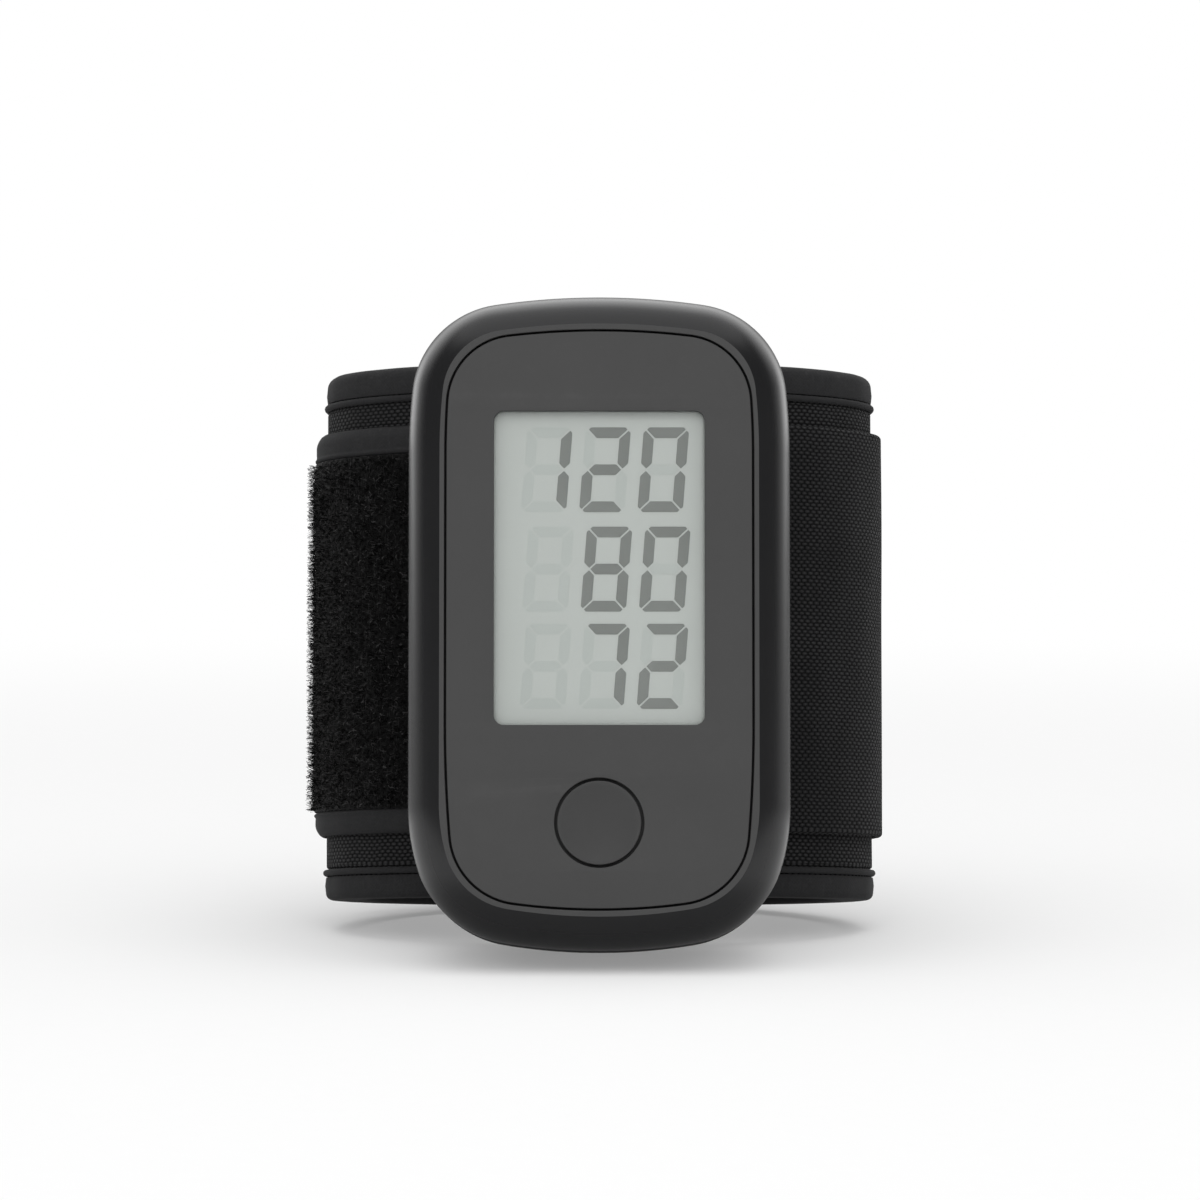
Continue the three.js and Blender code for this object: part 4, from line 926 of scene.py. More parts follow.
cuff = {
    "halfWidth": 37.18, "frontDepth": 20.8, "rearDepth": 29.0, "centre": 47.8, "opening": 8.0,
    "top": 36.65, "bottom": -34.85, "coverTop": 31.7, "coverBottom": -30.6, "coverThickness": 0.8,
    "coverHem": 0.35, "coverRows": 15, "coverRipple": 0.04, "coverSink": 0.02,
    "turnIn": ((-0.1, -0.1), (-0.34, 0.05), (-0.42, 1.25), (-0.78, 1.25)),
    "liningOuter": -4.4, "liningInner": -5.6, "liningReach": 0.9, "liningEdge": 0.3, "liningRows": 14,
    "liningSwell": 0.25, "liningSwellHeight": 22.0, "liningRipple": 0.06,
    "bindingStart": 32.9, "bindingFoot": -31.8, "roundTop": 1.6, "roundFoot": 0.95, "roundSteps": 7,
    "tape": 0.7, "tapeProud": 0.06, "tapeNip": 0.05, "tapeLead": (0.2, 1.1), "tapeBulge": 0.1, "tapeEnd": 1.5,
    "pipingTop": 32.3, "pipingBottom": -31.2, "pipingRadius": 0.45, "pipingSides": 12, "step": 1.2,
    "flatWidth": 0.0645, "tapeFlatWidth": 0.0115, "liningShare": 0.88, "tapeShare": 0.94,
}
endTape = {
    "proud": 0.05, "reach": 3.0, "rise": 1.0, "swell": 0.08, "swellAt": 0.5, "past": 0.9, "steps": 8,
    "thickness": 0.35, "innerShare": 0.86, "lip": 0.3,
}


def cuffPoint(angle, offset):
    turn = math.radians(angle)
    depth = cuff["frontDepth"] if math.cos(turn) > 0 else cuff["rearDepth"]
    x, y = cuff["halfWidth"] * math.sin(turn), -depth * math.cos(turn)
    normal = Vector((x / cuff["halfWidth"] ** 2, y / depth ** 2)).normalized()
    return Vector((x, y + cuff["centre"])) + normal * offset


def cuffNormal(angle):
    return (cuffPoint(angle, 1.0) - cuffPoint(angle, 0.0)).normalized()


def angleOfLength(angle, length):
    return 2 * length / (cuffPoint(angle + 1, 0) - cuffPoint(angle - 1, 0)).length


cuffEnd = 180 - angleOfLength(180, cuff["opening"] / 2)
arcTable = [0.0]
for degree in range(0, 360):
    arcTable.append(arcTable[-1] + (cuffPoint(degree + 1, 0) - cuffPoint(degree, 0)).length)


def arcLength(angle):
    whole = min(359, int(abs(angle)))
    length = arcTable[whole] + (arcTable[whole + 1] - arcTable[whole]) * (abs(angle) - whole)
    return math.copysign(length, angle)


def roundedSection(inner, outer, low, high, edge, rows=1):
    # closed loop of (offset, height): up the outside, over, and down the inside
    edge = min(edge, (outer - inner) / 2 * 0.98)
    quarter = quarterAngles(4)
    loop = [(outer, low + edge + (high - low - 2 * edge) * i / rows) for i in range(rows + 1)]
    loop += [(outer - edge + edge * math.cos(a), high - edge + edge * math.sin(a)) for a in quarter[1:]]
    loop += [(inner + edge - edge * math.sin(a), high - edge + edge * math.cos(a)) for a in quarter]
    loop += [(inner, high - edge - (high - low - 2 * edge) * i / rows) for i in range(1, rows + 1)]
    loop += [(inner + edge - edge * math.cos(a), low + edge - edge * math.sin(a)) for a in quarter[1:]]
    loop += [(outer - edge + edge * math.sin(a), low + edge - edge * math.cos(a)) for a in quarter[:-1]]
    return loop


def bandStations(start, end, step, roundEnds):
    # where the section stands, and how full it is there; rounded ends thin out
    steps = max(2, round(abs(end - start) / step))
    stations = [(start + (end - start) * i / steps, 1.0) for i in range(steps + 1)]
    if not roundEnds:
        return stations
    leastFull, endAngles = 0.08, (4, 20, 40, 62)
    sign = 1 if end > start else -1
    turns = [(1 - math.cos(a), max(leastFull, math.sin(a))) for a in map(math.radians, endAngles)]
    reach = [angleOfLength(start, roundEnds) * sign, angleOfLength(end, roundEnds) * sign]
    middle = [s for s in stations if abs(s[0] - start) > abs(reach[0]) and abs(s[0] - end) > abs(reach[1])]
    stations = [(start + reach[0] * d, f) for d, f in turns] + [(start + reach[0], 1.0)] + middle
    return stations + [(end - reach[1], 1.0)] + [(end - reach[1] * d, f) for d, f in reversed(turns)]


def bandMesh(section, start, end, step=1.5, roundEnds=0.0):
    # sweeps a section round the cuff; returns the points, the faces and the cloth map in millimetres
    stations = bandStations(start, end, step, roundEnds)
    points, faces, cloth, lengths = [], [], [], []
    for angle, fullness in stations:
        loop = section(angle)
        centre = (min(o for o, z in loop) + max(o for o, z in loop)) / 2
        travelled = [0.0]
        for (o1, z1), (o2, z2) in zip(loop, loop[1:] + loop[:1]):
            travelled.append(travelled[-1] + math.hypot(o2 - o1, z2 - z1))
        lengths.append((arcLength(angle), travelled))
        for offset, height in loop:
            points.append((*cuffPoint(angle, centre + (offset - centre) * fullness), height))
    ringSize = len(loop)
    for row in range(len(stations) - 1):
        first, second = row * ringSize, (row + 1) * ringSize
        (u1, v1), (u2, v2) = lengths[row], lengths[row + 1]
        for i in range(ringSize):
            faces.append(quad(first, second, i, (i + 1) % ringSize))
            cloth += [(u1, v1[i]), (u1, v1[i + 1]), (u2, v2[i + 1]), (u2, v2[i])]
    for row, way in ((0, -1), (len(stations) - 1, 1)):
        order = list(range(row * ringSize, (row + 1) * ringSize))[::way]
        faces.append(tuple(order))
        cloth += [(lengths[row][0], points[i][2]) for i in order]
    return points, faces, cloth


def addBand(name, section, start, end, finish, step=1.5, roundEnds=0.0, sharp=50):
    points, faces, cloth = bandMesh(section, start, end, step, roundEnds)
    return addMesh(name, points, faces, finish, cloth, sharp=sharp)


def ripple(angle, height, amount=0.05):
    # hand-made unevenness of the sewn cloth
    small = 0.6 * math.sin(angle * 0.47 - height * 0.23 + 1.3)
    return amount * (math.sin(angle * 0.21 + height * 0.11) + small)


def coverSection(angle):
    # the cloth turns in under the piping at both edges
    low, high, rows, hem = cuff["coverBottom"], cuff["coverTop"], cuff["coverRows"], cuff["coverHem"]
    heights = [low + hem + (high - low - 2 * hem) * i / rows for i in range(rows + 1)]
    outer = [(ripple(angle, z, cuff["coverRipple"]) - cuff["coverSink"], z) for z in heights]
    top = [(offset, high + rise) for offset, rise in cuff["turnIn"]]
    foot = [(offset, low - rise) for offset, rise in reversed(cuff["turnIn"])]
    inside = -cuff["coverThickness"]
    return outer + top + [(inside, high), (inside, low)] + foot


def liningSection(angle):
    # bowed in a little between its edges
    low, high = cuff["coverBottom"] - cuff["liningReach"], cuff["coverTop"] + cuff["liningReach"]
    inner, outer, loop = cuff["liningInner"], cuff["liningOuter"], []
    for o, z in roundedSection(inner, outer, low, high, cuff["liningEdge"], cuff["liningRows"]):
        isInside = 1 if o < (inner + outer) / 2 else 0
        swell = cuff["liningSwell"] * math.cos(z / cuff["liningSwellHeight"]) * isInside
        loop.append((o - swell + ripple(angle, z, cuff["liningRipple"]), z))
    return loop


def bindingSection(angle, start, end):
    # tape folded over the edge of the cuff wall, a little proud of it
    side = 1 if end > start else -1
    quarter = quarterAngles(cuff["roundSteps"])
    rounding = cuff["roundTop"] if side > 0 else cuff["roundFoot"]
    first, second = (start + side * lead for lead in cuff["tapeLead"])
    nip, bulge, thick = cuff["tapeNip"], cuff["tapeBulge"], cuff["tape"]

    def fold(outer, inner, end, r):
        path = [(outer - nip, start), (outer, first), (outer + bulge, second)]
        path += [(outer - r + r * math.cos(a), end - side * (r - r * math.sin(a))) for a in quarter]
        path += [(inner + r - r * math.sin(a), end - side * (r - r * math.cos(a))) for a in quarter]
        return path + [(inner - bulge, second), (inner, first), (inner + nip, start)]
    outer, inner = cuff["tapeProud"] + ripple(angle, end, 0.05), cuff["liningInner"] - cuff["tapeProud"]
    inside = fold(outer - thick, inner + thick, end - side * thick, rounding - thick)
    loop = fold(outer, inner, end, rounding) + inside[::-1]
    return loop if side > 0 else loop[::-1]


def pipingSection(height):
    radius, sides = cuff["pipingRadius"], cuff["pipingSides"]
    angles = [fullTurn * i / sides for i in range(sides)]
    return [(radius * math.cos(a), height + radius * math.sin(a)) for a in angles]


def endTapeMesh(side):
    # upright tape that closes the layers at each end of the open cuff
    def turnOf(length):
        return angleOfLength(180, length)
    outer, inner, steps = endTape["proud"], cuff["liningInner"] - endTape["proud"], endTape["steps"]
    low, high = cuff["coverBottom"] - endTape["rise"], cuff["coverTop"] + endTape["rise"]
    start, swellAt = cuffEnd - turnOf(endTape["reach"]), cuffEnd - turnOf(endTape["swellAt"])
    swell, lip = endTape["swell"], endTape["lip"]
    middle, half = (outer + inner) / 2, (outer - inner) / 2
    outline = [(start, outer), (swellAt, outer + swell)]
    for i in range(steps + 1):
        a = math.pi / 2 - math.pi * i / steps
        outline.append((cuffEnd + turnOf(endTape["past"]) * math.cos(a), middle + half * math.sin(a)))
    outline += [(swellAt, inner - swell), (start, inner)]
    inside = []
    for i, (angle, offset) in enumerate(outline):
        back = turnOf(endTape["thickness"]) if i in range(2, steps + 3) else 0
        inside.append((angle - back, middle + (offset - middle) * endTape["innerShare"]))
    ring = [cuffPoint(side * angle, offset) for angle, offset in outline + inside[::-1]]
    points, faces = loft([[(*p, z) for p in ring] for z in (low, low + lip, high - lip, high)])
    return points, faces, [(points[i][0] + points[i][1], points[i][2]) for face in faces for i in face]


def buildCuff():
    flatLength, step = 2 * arcLength(cuffEnd) * millimetre, cuff["step"]

    def around(name, section, finish, slot, node, **ways):
        piece = addBand(name, section, -cuffEnd, cuffEnd, finish, step, **ways)
        return fitPiece(piece, "monitor", slot, node)
    cover = around("cuffCoverCloth", coverSection, "coverWeave", "weave", "cuff_cover")
    lining = around("cuffLiningKnit", liningSection, "liningKnit", "weave", "cuff_lining")
    tapes, cords, ends = [], [], []
    for name, start, end, node in (
        ("cuffBindingTop", cuff["bindingStart"], cuff["top"], "cuff_binding_upper"),
        ("cuffBindingFoot", cuff["bindingFoot"], cuff["bottom"], "cuff_binding_lower"),
    ):
        def tapeSection(angle):
            return bindingSection(angle, start, end)
        roundEnds = cuff["tapeEnd"]
        tapes.append(around(name, tapeSection, "bindingTape", "binding", node, roundEnds=roundEnds))
    for name, height, node in (
        ("cuffPipingTop", cuff["pipingTop"], "cuff_piping_upper"),
        ("cuffPipingFoot", cuff["pipingBottom"], "cuff_piping_lower"),
    ):
        def cordSection(angle):
            return pipingSection(height)
        cords.append(around(name, cordSection, "bindingTape", "binding", node, sharp=35))
    for side, name in ((-1, "cuffEndTapeLeft"), (1, "cuffEndTapeRight")):
        points, faces, cloth = endTapeMesh(side)
        tape = addMesh(name, points, faces, "bindingTape", cloth, sharp=50)
        ends.append(fitPiece(tape, "monitor", "binding"))


bladder = {
    "low": -25.9, "high": 27.1, "reach": 118, "middle": -3.15, "rim": 0.25, "swell": 0.7, "count": 13,
    "taper": 6, "fill": 0.1,
    "nipple": ((0, 28.6), (0.8, 28.6), (0.8, 22.0), (1.5, 21.8), (1.7, 22.4), (1.7, 28.9), (0, 29.4)),
}


def bladderSection(angle):
    low, high, last, rim = bladder["low"], bladder["high"], bladder["count"] - 1, bladder["rim"]
    taper = min(1.0, (bladder["reach"] - abs(angle)) / bladder["taper"] + rim)
    outer = []
    for i in range(last + 1):
        thick = rim + bladder["swell"] * math.sin(math.pi * i / last) ** 0.5
        outer.append((bladder["middle"] + thick * taper, low + (high - low) * i / last))
    return outer + [(2 * bladder["middle"] - o, z) for o, z in reversed(outer)]


def buildBladder():
    # flat air bag, thin at its welded rim, with its nipple towards the case
    points, faces, cloth = bandMesh(bladderSection, -bladder["reach"], bladder["reach"], step=2.0)
    start = len(points)
    more, moreFaces = turnedMesh(bladder["nipple"], nipple["x"], nipple["z"], 24)
    points += more
    cloth += [(0, 0) for face in moreFaces for i in face]
    faces += [tuple(i + start for i in face) for face in moreFaces]
    bag = addMesh("airBladderBag", points, faces, "bladderFilm", cloth, sharp=50)
    fitPiece(bag, "monitor", "film", "air_bladder")


buildCuff()
buildBladder()
print("cuff built")


# Wrap: bound wing with loop pile on the left, woven strap on the right

wrap = {
    "top": 28.5, "bottom": -26.3, "inner": 0.3, "thickness": 1.1, "edge": 0.5, "rows": 14,
    "binding": 3.3, "upperBinding": 3.85, "start": 28.0, "wingEnd": 142.0,
    "wingSink": 0.1, "wingLap": 0.5, "wingEdge": 0.3, "wingRows": 12,
    "hinges": (150.0, 182.0, 214.0), "hingeHeight": 1.1, "bendReach": 0.004, "cuts": (166.0, 198.0),
    "end": 238.0, "tapeEdge": 0.3,
    "riseStart": 186.0, "riseEnd": 213.0, "lifted": 4.1, "ripple": 0.035,
    "tapeInner": 0.02, "tapeProud": 0.06, "tapeRows": 18, "tapeSwell": 0.07, "tapeRipple": 0.03,
    "tapeLeast": 0.15,
    "tapeFall": 0.75, "tapeRound": 1.7, "seamRidge": 0.26, "seamAt": 0.4, "seamWidth": 0.35,
    "flatWidth": 0.0548, "flatLengthScale": 0.00106, "wingFlatWidth": 0.0492,
}
hooks = {
    "start": 221.0, "margin": 2.5, "inner": 3.3, "outer": 3.85, "film": 0.2, "edge": 0.1,
    "rowPitch": 0.95, "columnPitch": 0.8, "rim": 0.6, "rowShift": 0.6,
    # height above the film's underside, lean and half width of a hook, from its foot to its tip
    "stations": ((0.25, 0.0, 0.11), (-0.02, 0.03, 0.09), (-0.12, 0.2, 0.07)), "toneSteps": (1.7, 1.3),
}
tab = {
    "gap": 0.05, "length": 5.25, "margin": 12, "thickness": 1.15, "edge": 0.5, "rows": 3, "step": 0.2,
    "ribs": 4, "ribHeight": 0.22, "ribShares": (0.1, 0.95), "narrowing": 17.6, "narrowFromShare": 0.55,
    "round": 0.5,
}


def arcBetween(start, end):
    return arcLength(end) - arcLength(start)


def strapInner(angle):
    share = max(0.0, min(1.0, (angle - wrap["riseStart"]) / (wrap["riseEnd"] - wrap["riseStart"])))
    return wrap["inner"] + share * share * (3 - 2 * share) * (wrap["lifted"] - wrap["inner"])


def strapSection(angle):
    inner = strapInner(angle)
    low, high, edge, rows = wrap["bottom"], wrap["top"], wrap["edge"], wrap["rows"]
    loop = roundedSection(inner, inner + wrap["thickness"], low, high, edge, rows)
    return [(o + ripple(angle, z, wrap["ripple"]), z) for o, z in loop]


def buildStrap():
    firstCut, secondCut = wrap["cuts"]
    parts = (
        ("strapClothFixed", wrap["start"], firstCut, ("monitor", "strap_root"),
         ("strap_fixed", "strap_tail_root")),
        ("strapClothMiddle", firstCut, secondCut, ("strap_root", "strap_middle"), ("strap_tail_middle",)),
        ("strapClothEnd", secondCut, wrap["end"], ("strap_middle", "strap_end"), ("strap_tail_end",)),
    )
    for (name, start, end, bodies, nodes), hinge in zip(parts, wrap["hinges"]):
        strip = addBand(name, strapSection, start, end, "strapWeave", step=1.0)
        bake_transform(strip)
        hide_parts(*nodes)


def buildHookPatch():
    # moulded hooks on a film, facing the loop pile
    low, high = wrap["bottom"] + hooks["margin"], wrap["top"] - hooks["margin"]
    start, end, inner = hooks["start"], wrap["end"], hooks["inner"]

    def film(angle):
        return roundedSection(inner + hooks["film"], hooks["outer"], low, high, hooks["edge"], 2)
    points, faces, cloth = bandMesh(film, start, end, step=1.5)
    rows = int(arcBetween(start, end) / hooks["rowPitch"])
    columns = int((high - low - 1) / hooks["columnPitch"])
    rowTone, columnTone = hooks["toneSteps"]
    corners = ((-1, -1), (1, -1), (1, 1), (-1, 1))
    for row in range(rows):
        angle = start + (end - start) * (row + hooks["rowShift"]) / rows
        normal = cuffNormal(angle)
        tangent = Vector((-normal.y, normal.x))
        for column in range(columns):
            z = low + hooks["rim"] + hooks["columnPitch"] * column
            base = len(points)
            for reach, lean, half in hooks["stations"]:
                spot = cuffPoint(angle, inner + reach) + tangent * lean
                points += [(*(spot + tangent * a * half), z + b * half) for a, b in corners]
            for level in (base, base + 4):
                faces += [quad(level, level + 4, i, (i + 1) % 4) for i in range(4)]
            faces.append(tuple(range(base + 8, base + 12)))
            cloth += [(row * rowTone, column * columnTone)] * 36
    patch = addMesh("hookPatchFilm", points, faces, "hookFilm", cloth, sharp=50)
    return fitPiece(patch, "strap_end", "pile", "hook_patch")


def buildPullTab():
    # soft moulded tab with finger ribs across it
    start = wrap["end"] + angleOfLength(wrap["end"], tab["gap"])
    end = start + angleOfLength(wrap["end"], tab["length"])
    low, high, inner = wrap["bottom"] + tab["margin"], wrap["top"] - tab["margin"], wrap["lifted"]
    ribStart, ribEnd = tab["ribShares"]

    def section(angle):
        share = (angle - start) / (end - start)
        ribs = tab["ribHeight"] * max(0.0, math.sin(share * tab["ribs"] * fullTurn))
        ribs = ribs if ribStart < share < ribEnd else 0.0
        pull = tab["narrowing"] * max(0.0, share - tab["narrowFromShare"]) ** 2
        outer = inner + tab["thickness"] + ribs
        return roundedSection(inner, outer, low + pull, high - pull, tab["edge"], tab["rows"])
    rubber = addBand("pullTabRubber", section, start, end, "softRubber", tab["step"], tab["round"])
    return fitPiece(rubber, "strap_end", "silicone", "pull_tab")


def wingTapeSection(angle, bottom, top, isUpper):
    # rounded down towards the wing's edge, with a ridge where the seam draws the tape in
    inner, outer = wrap["inner"], wrap["inner"] + wrap["thickness"]
    under, over = inner - wrap["tapeInner"], outer + wrap["tapeProud"]
    loop = roundedSection(under, over, bottom, top, wrap["tapeEdge"], wrap["tapeRows"])
    swell = wrap["tapeSwell"] + ripple(angle, top, wrap["tapeRipple"])
    shaped = []
    for o, z in loop:
        if o > (inner + outer) / 2:
            fromFree = top - z if isUpper else z - bottom
            fromSeam = top - bottom - fromFree
            fall = wrap["tapeFall"] * max(0.0, 1 - fromFree / wrap["tapeRound"]) ** 2
            ridge = wrap["seamRidge"] * max(0.0, 1 - abs(fromSeam - wrap["seamAt"]) / wrap["seamWidth"])
            rise = swell * math.sin(fromFree / (top - bottom) * math.pi) - fall + ridge
            o = max(inner + wrap["tapeLeast"], o + rise)
        shaped.append((o, z))
    return shaped


def buildWing():
    inner, outer = wrap["inner"], wrap["inner"] + wrap["thickness"]
    low, high, tape, upperTape = wrap["bottom"], wrap["top"], wrap["binding"], wrap["upperBinding"]
    start, end = -wrap["wingEnd"], -wrap["start"]

    def backing(angle):
        foot, top = low + tape - wrap["wingLap"], high - upperTape + wrap["wingLap"]
        return roundedSection(inner, outer - wrap["wingSink"], foot, top, wrap["wingEdge"], wrap["wingRows"])
    wing = addBand("wingBackingCloth", backing, start, end, "coverWeave")
    fitPiece(wing, "monitor", "weave", "wing_backing")
    for name, bottom, top, node in (("wingTapeTop", high - upperTape, high, "wing_binding_upper"),
                                    ("wingTapeFoot", low, low + tape, "wing_binding_lower")):
        piece = addBand(name, lambda angle: wingTapeSection(angle, bottom, top, top == high), start, end,
                        "bindingTape", step=1.2, roundEnds=0.5)
        fitPiece(piece, "monitor", "binding", node)


pile = {
    "seed": 7, "loops": 32000, "start": 31.0, "end": 138.0, "edgeRoom": 0.05, "footRoom": 0.3, "topRoom": 0.4,
    "ground": 1.6, "groundGap": 0.02, "groundEdge": 0.25, "groundRipple": 0.05, "rippleFrom": 1.5,
    "groundLengthScale": 0.00104,
    "width": 0.12, "height": (0.15, 0.55), "span": (0.3, 1.0), "bend": 0.45, "lean": 0.3, "root": 0.1,
    "wisps": 0.55, "wispWidth": 0.065, "wispHeight": (0.5, 1.4), "wispSpan": 0.7,
    "finish": (0.62, 1.0), "spread": (0.7, 1.2), "steps": 5, "toneSteps": (0.37, 0.11),
}


def addStrand(strand, foot, out, height, span, way, half, bend, lean, finish, turn):
    # one flat fibre that rises from its foot, bends over and comes down again
    points, faces, cloth = strand
    tangent, up = Vector((-out.y, out.x, 0)), Vector((0, 0, 1))
    along = tangent * math.cos(way) + up * math.sin(way)
    aside = out.cross(along)
    base, steps = len(points), pile["steps"]
    for i in range(steps + 1):
        share = i / steps * finish
        arch = math.sin(math.pi * share)
        rise = arch ** 0.8 * height
        spot = foot + along * (span * (share - 0.5)) + out * rise + aside * (bend * arch * span + lean * rise)
        side = (aside * math.cos(turn) + out * math.sin(turn)) * half
        points += [tuple(spot + side), tuple(spot - side)]
    faces += [(a, a + 1, a + 3, a + 2) for a in range(base, base + 2 * steps, 2)]


def buildPile():
    # brushed loop pile: a dark ground with thousands of fine crushed loops standing on it
    dice = random.Random(pile["seed"])
    low = wrap["bottom"] + wrap["binding"] + pile["edgeRoom"]
    high = wrap["top"] - wrap["upperBinding"] - pile["edgeRoom"]
    start, end, ground = -pile["end"], -pile["start"], pile["ground"]
    foundation = wrap["inner"] + wrap["thickness"] + pile["groundGap"]

    def groundSection(angle):
        loop = roundedSection(foundation, ground, low, high, pile["groundEdge"], wrap["rows"])
        amount, fromOffset = pile["groundRipple"], pile["rippleFrom"]
        return [(o + ripple(angle * 3, z * 4, amount) if o > fromOffset else o, z) for o, z in loop]
    pad = fitPiece(addBand("loopPileGround", groundSection, start, end, "pileGround"), "monitor", "pile")

    strands = {"Lower": ([], [], []), "Upper": ([], [], [])}
    rowTone, columnTone = pile["toneSteps"]
    for number in range(pile["loops"]):
        angle = start + (end - start) * dice.random()
        z = low + pile["footRoom"] + (high - low - pile["footRoom"] - pile["topRoom"]) * dice.random()
        way = dice.uniform(0, fullTurn)
        span = dice.uniform(*pile["span"])
        height = dice.uniform(*pile["height"])
        wisp = dice.random() < pile["wisps"]
        if wisp:
            height, span = dice.uniform(*pile["wispHeight"]), span * pile["wispSpan"]
        bend = dice.uniform(-pile["bend"], pile["bend"])
        lean = dice.uniform(-pile["lean"], pile["lean"])
        finish = dice.uniform(*pile["finish"])
        turn = dice.uniform(0, math.pi)
        half = pile["wispWidth" if wisp else "width"] / 2 * dice.uniform(*pile["spread"])
        strand = strands["Upper" if z > (low + high) / 2 else "Lower"]
        foot = Vector((*cuffPoint(angle, ground - pile["root"]), z))
        out = Vector((*cuffNormal(angle), 0))
        addStrand(strand, foot, out, height, span, way, half, bend, lean, finish, turn)
        strand[2].extend([(number * rowTone, number * columnTone)] * 4 * pile["steps"])
    for half, (points, faces, cloth) in strands.items():
        tuft = addMesh("loopPile" + half, points, faces, "pileStrand", cloth, sharp=180)
        fitPiece(tuft, "monitor", "pile", "loop_pile_patch")


buildStrap()
buildHookPatch()
buildPullTab()
buildWing()
buildPile()
print("wrap built")


# Inside the case

airline = {
    "pumpX": -12.19, "pumpDepth": 17.8, "outlet": 27.4, "stub": 2.8, "loop": 33.0, "fallTo": 15.0,
    "manifoldDepth": 18.8, "manifoldTop": -11.7, "manifoldFoot": -20.3, "manifoldStub": 3.7,
    "sensorX": -6.2, "sensorZ": -28.95, "sensorTip": 14.2, "radius": 1.5, "sensorShare": 0.98,
    "steps": (60, 40),
}
spring = {"turns": 5.5, "steps": 20, "foot": 3.3, "draw": 1.4, "length": 2.6, "wire": 0.24}
cell = {
    "radius": 5.22, "foot": -22.0, "jacketFoot": -21.2, "jacketTop": 20.7, "shoulder": 21.2, "nub": 1.85,
    "top": 22.0, "sides": 64, "jacketRow": 4,
}
screwShape = {
    "dish": 0.05, "dome": 0.45, "pitch": 0.55, "core": 0.82, "sides": 32,
    "slot": 0.6, "slotWidth": 0.2, "slotDepth": 0.45, "above": 1.0,
}


def tubePiece(name, path, radius, finish, slot, node):
    curve = bpy.data.curves.new(name, "CURVE")
    curve.dimensions = "3D"
    curve.bevel_depth = radius * millimetre
    curve.bevel_resolution = 4
    curve.use_fill_caps = True
    spline = curve.splines.new("POLY")
    spline.points.add(len(path) - 1)
    for point, place in zip(spline.points, path):
        point.co = (*standPoint(*place), 1.0)
    curve.materials.append(finishes[finish])
    holder = addObject(name + "Line", curve)
    bpy.context.view_layer.update()
    mesh = bpy.data.meshes.new_from_object(holder.evaluated_get(bpy.context.evaluated_depsgraph_get()))
    bpy.data.objects.remove(holder)
    obj = addObject(name, mesh)
    softenEdges(obj, 50)
    return fitPiece(obj, "monitor", slot, node)


def smoothPath(knots, count):
    # an even curve through the knots
    path = []
    for i in range(count + 1):
        share = i / count * (len(knots) - 1)
        k = min(int(share), len(knots) - 2)
        t = share - k
        a, b, c, d = [Vector(knots[max(0, min(len(knots) - 1, k + j))]) for j in (-1, 0, 1, 2)]
        square, cube = (2 * a - 5 * b + 4 * c - d) * t * t, (3 * b - a - 3 * c + d) * t ** 3
        path.append(0.5 * ((2 * b) + (c - a) * t + square + cube))
    return path


def buildHoses():
    a, radius = airline, airline["radius"]
    pump, manifold, sensor = (a["pumpX"], a["pumpDepth"]), (nipple["x"], a["manifoldDepth"]), a["sensorX"]
    bow = ((pump[0] + manifold[0]) / 2, (pump[1] + manifold[1]) / 2, a["loop"])
    knots = [(*pump, a["outlet"]), (*pump, a["outlet"] + a["stub"]), bow, (*manifold, a["outlet"] + a["stub"])]
    knots += [(*manifold, a["fallTo"]), (*manifold, a["manifoldTop"])]
    tubePiece("pumpHose", smoothPath(knots, a["steps"][0]), radius, "softRubber", "silicone", "air_hose_pump")
    turnDepth = (a["manifoldDepth"] + a["sensorTip"]) / 2 + radius
    knots = [(*manifold, a["manifoldFoot"]), (*manifold, a["manifoldFoot"] - a["manifoldStub"])]
    knots += [(sensor, turnDepth, a["sensorZ"]), (sensor, a["sensorTip"], a["sensorZ"])]
    path, slim = smoothPath(knots, a["steps"][1]), radius * a["sensorShare"]
    tubePiece("sensorHose", path, slim, "softRubber", "silicone", "air_hose_sensor")


def buildSprings():
    # conical coil springs of the cells
    count = spring["turns"] * spring["steps"]
    for number, upward in ((1, 1), (2, -1)):
        node = "battery_spring_%d" % number
        middle, path = middleOf(node), []
        for i in range(int(count) + 1):
            share = i / count
            radius = spring["foot"] - spring["draw"] * share
            angle = fullTurn * spring["turns"] * share
            height = middle.z + upward * (share - 0.5) * spring["length"]
            path.append((middle.x + radius * math.cos(angle), middle.y + radius * math.sin(angle), height))
        tubePiece("cellSpring%d" % number, path, spring["wire"], "brightSteel", "steel", node)


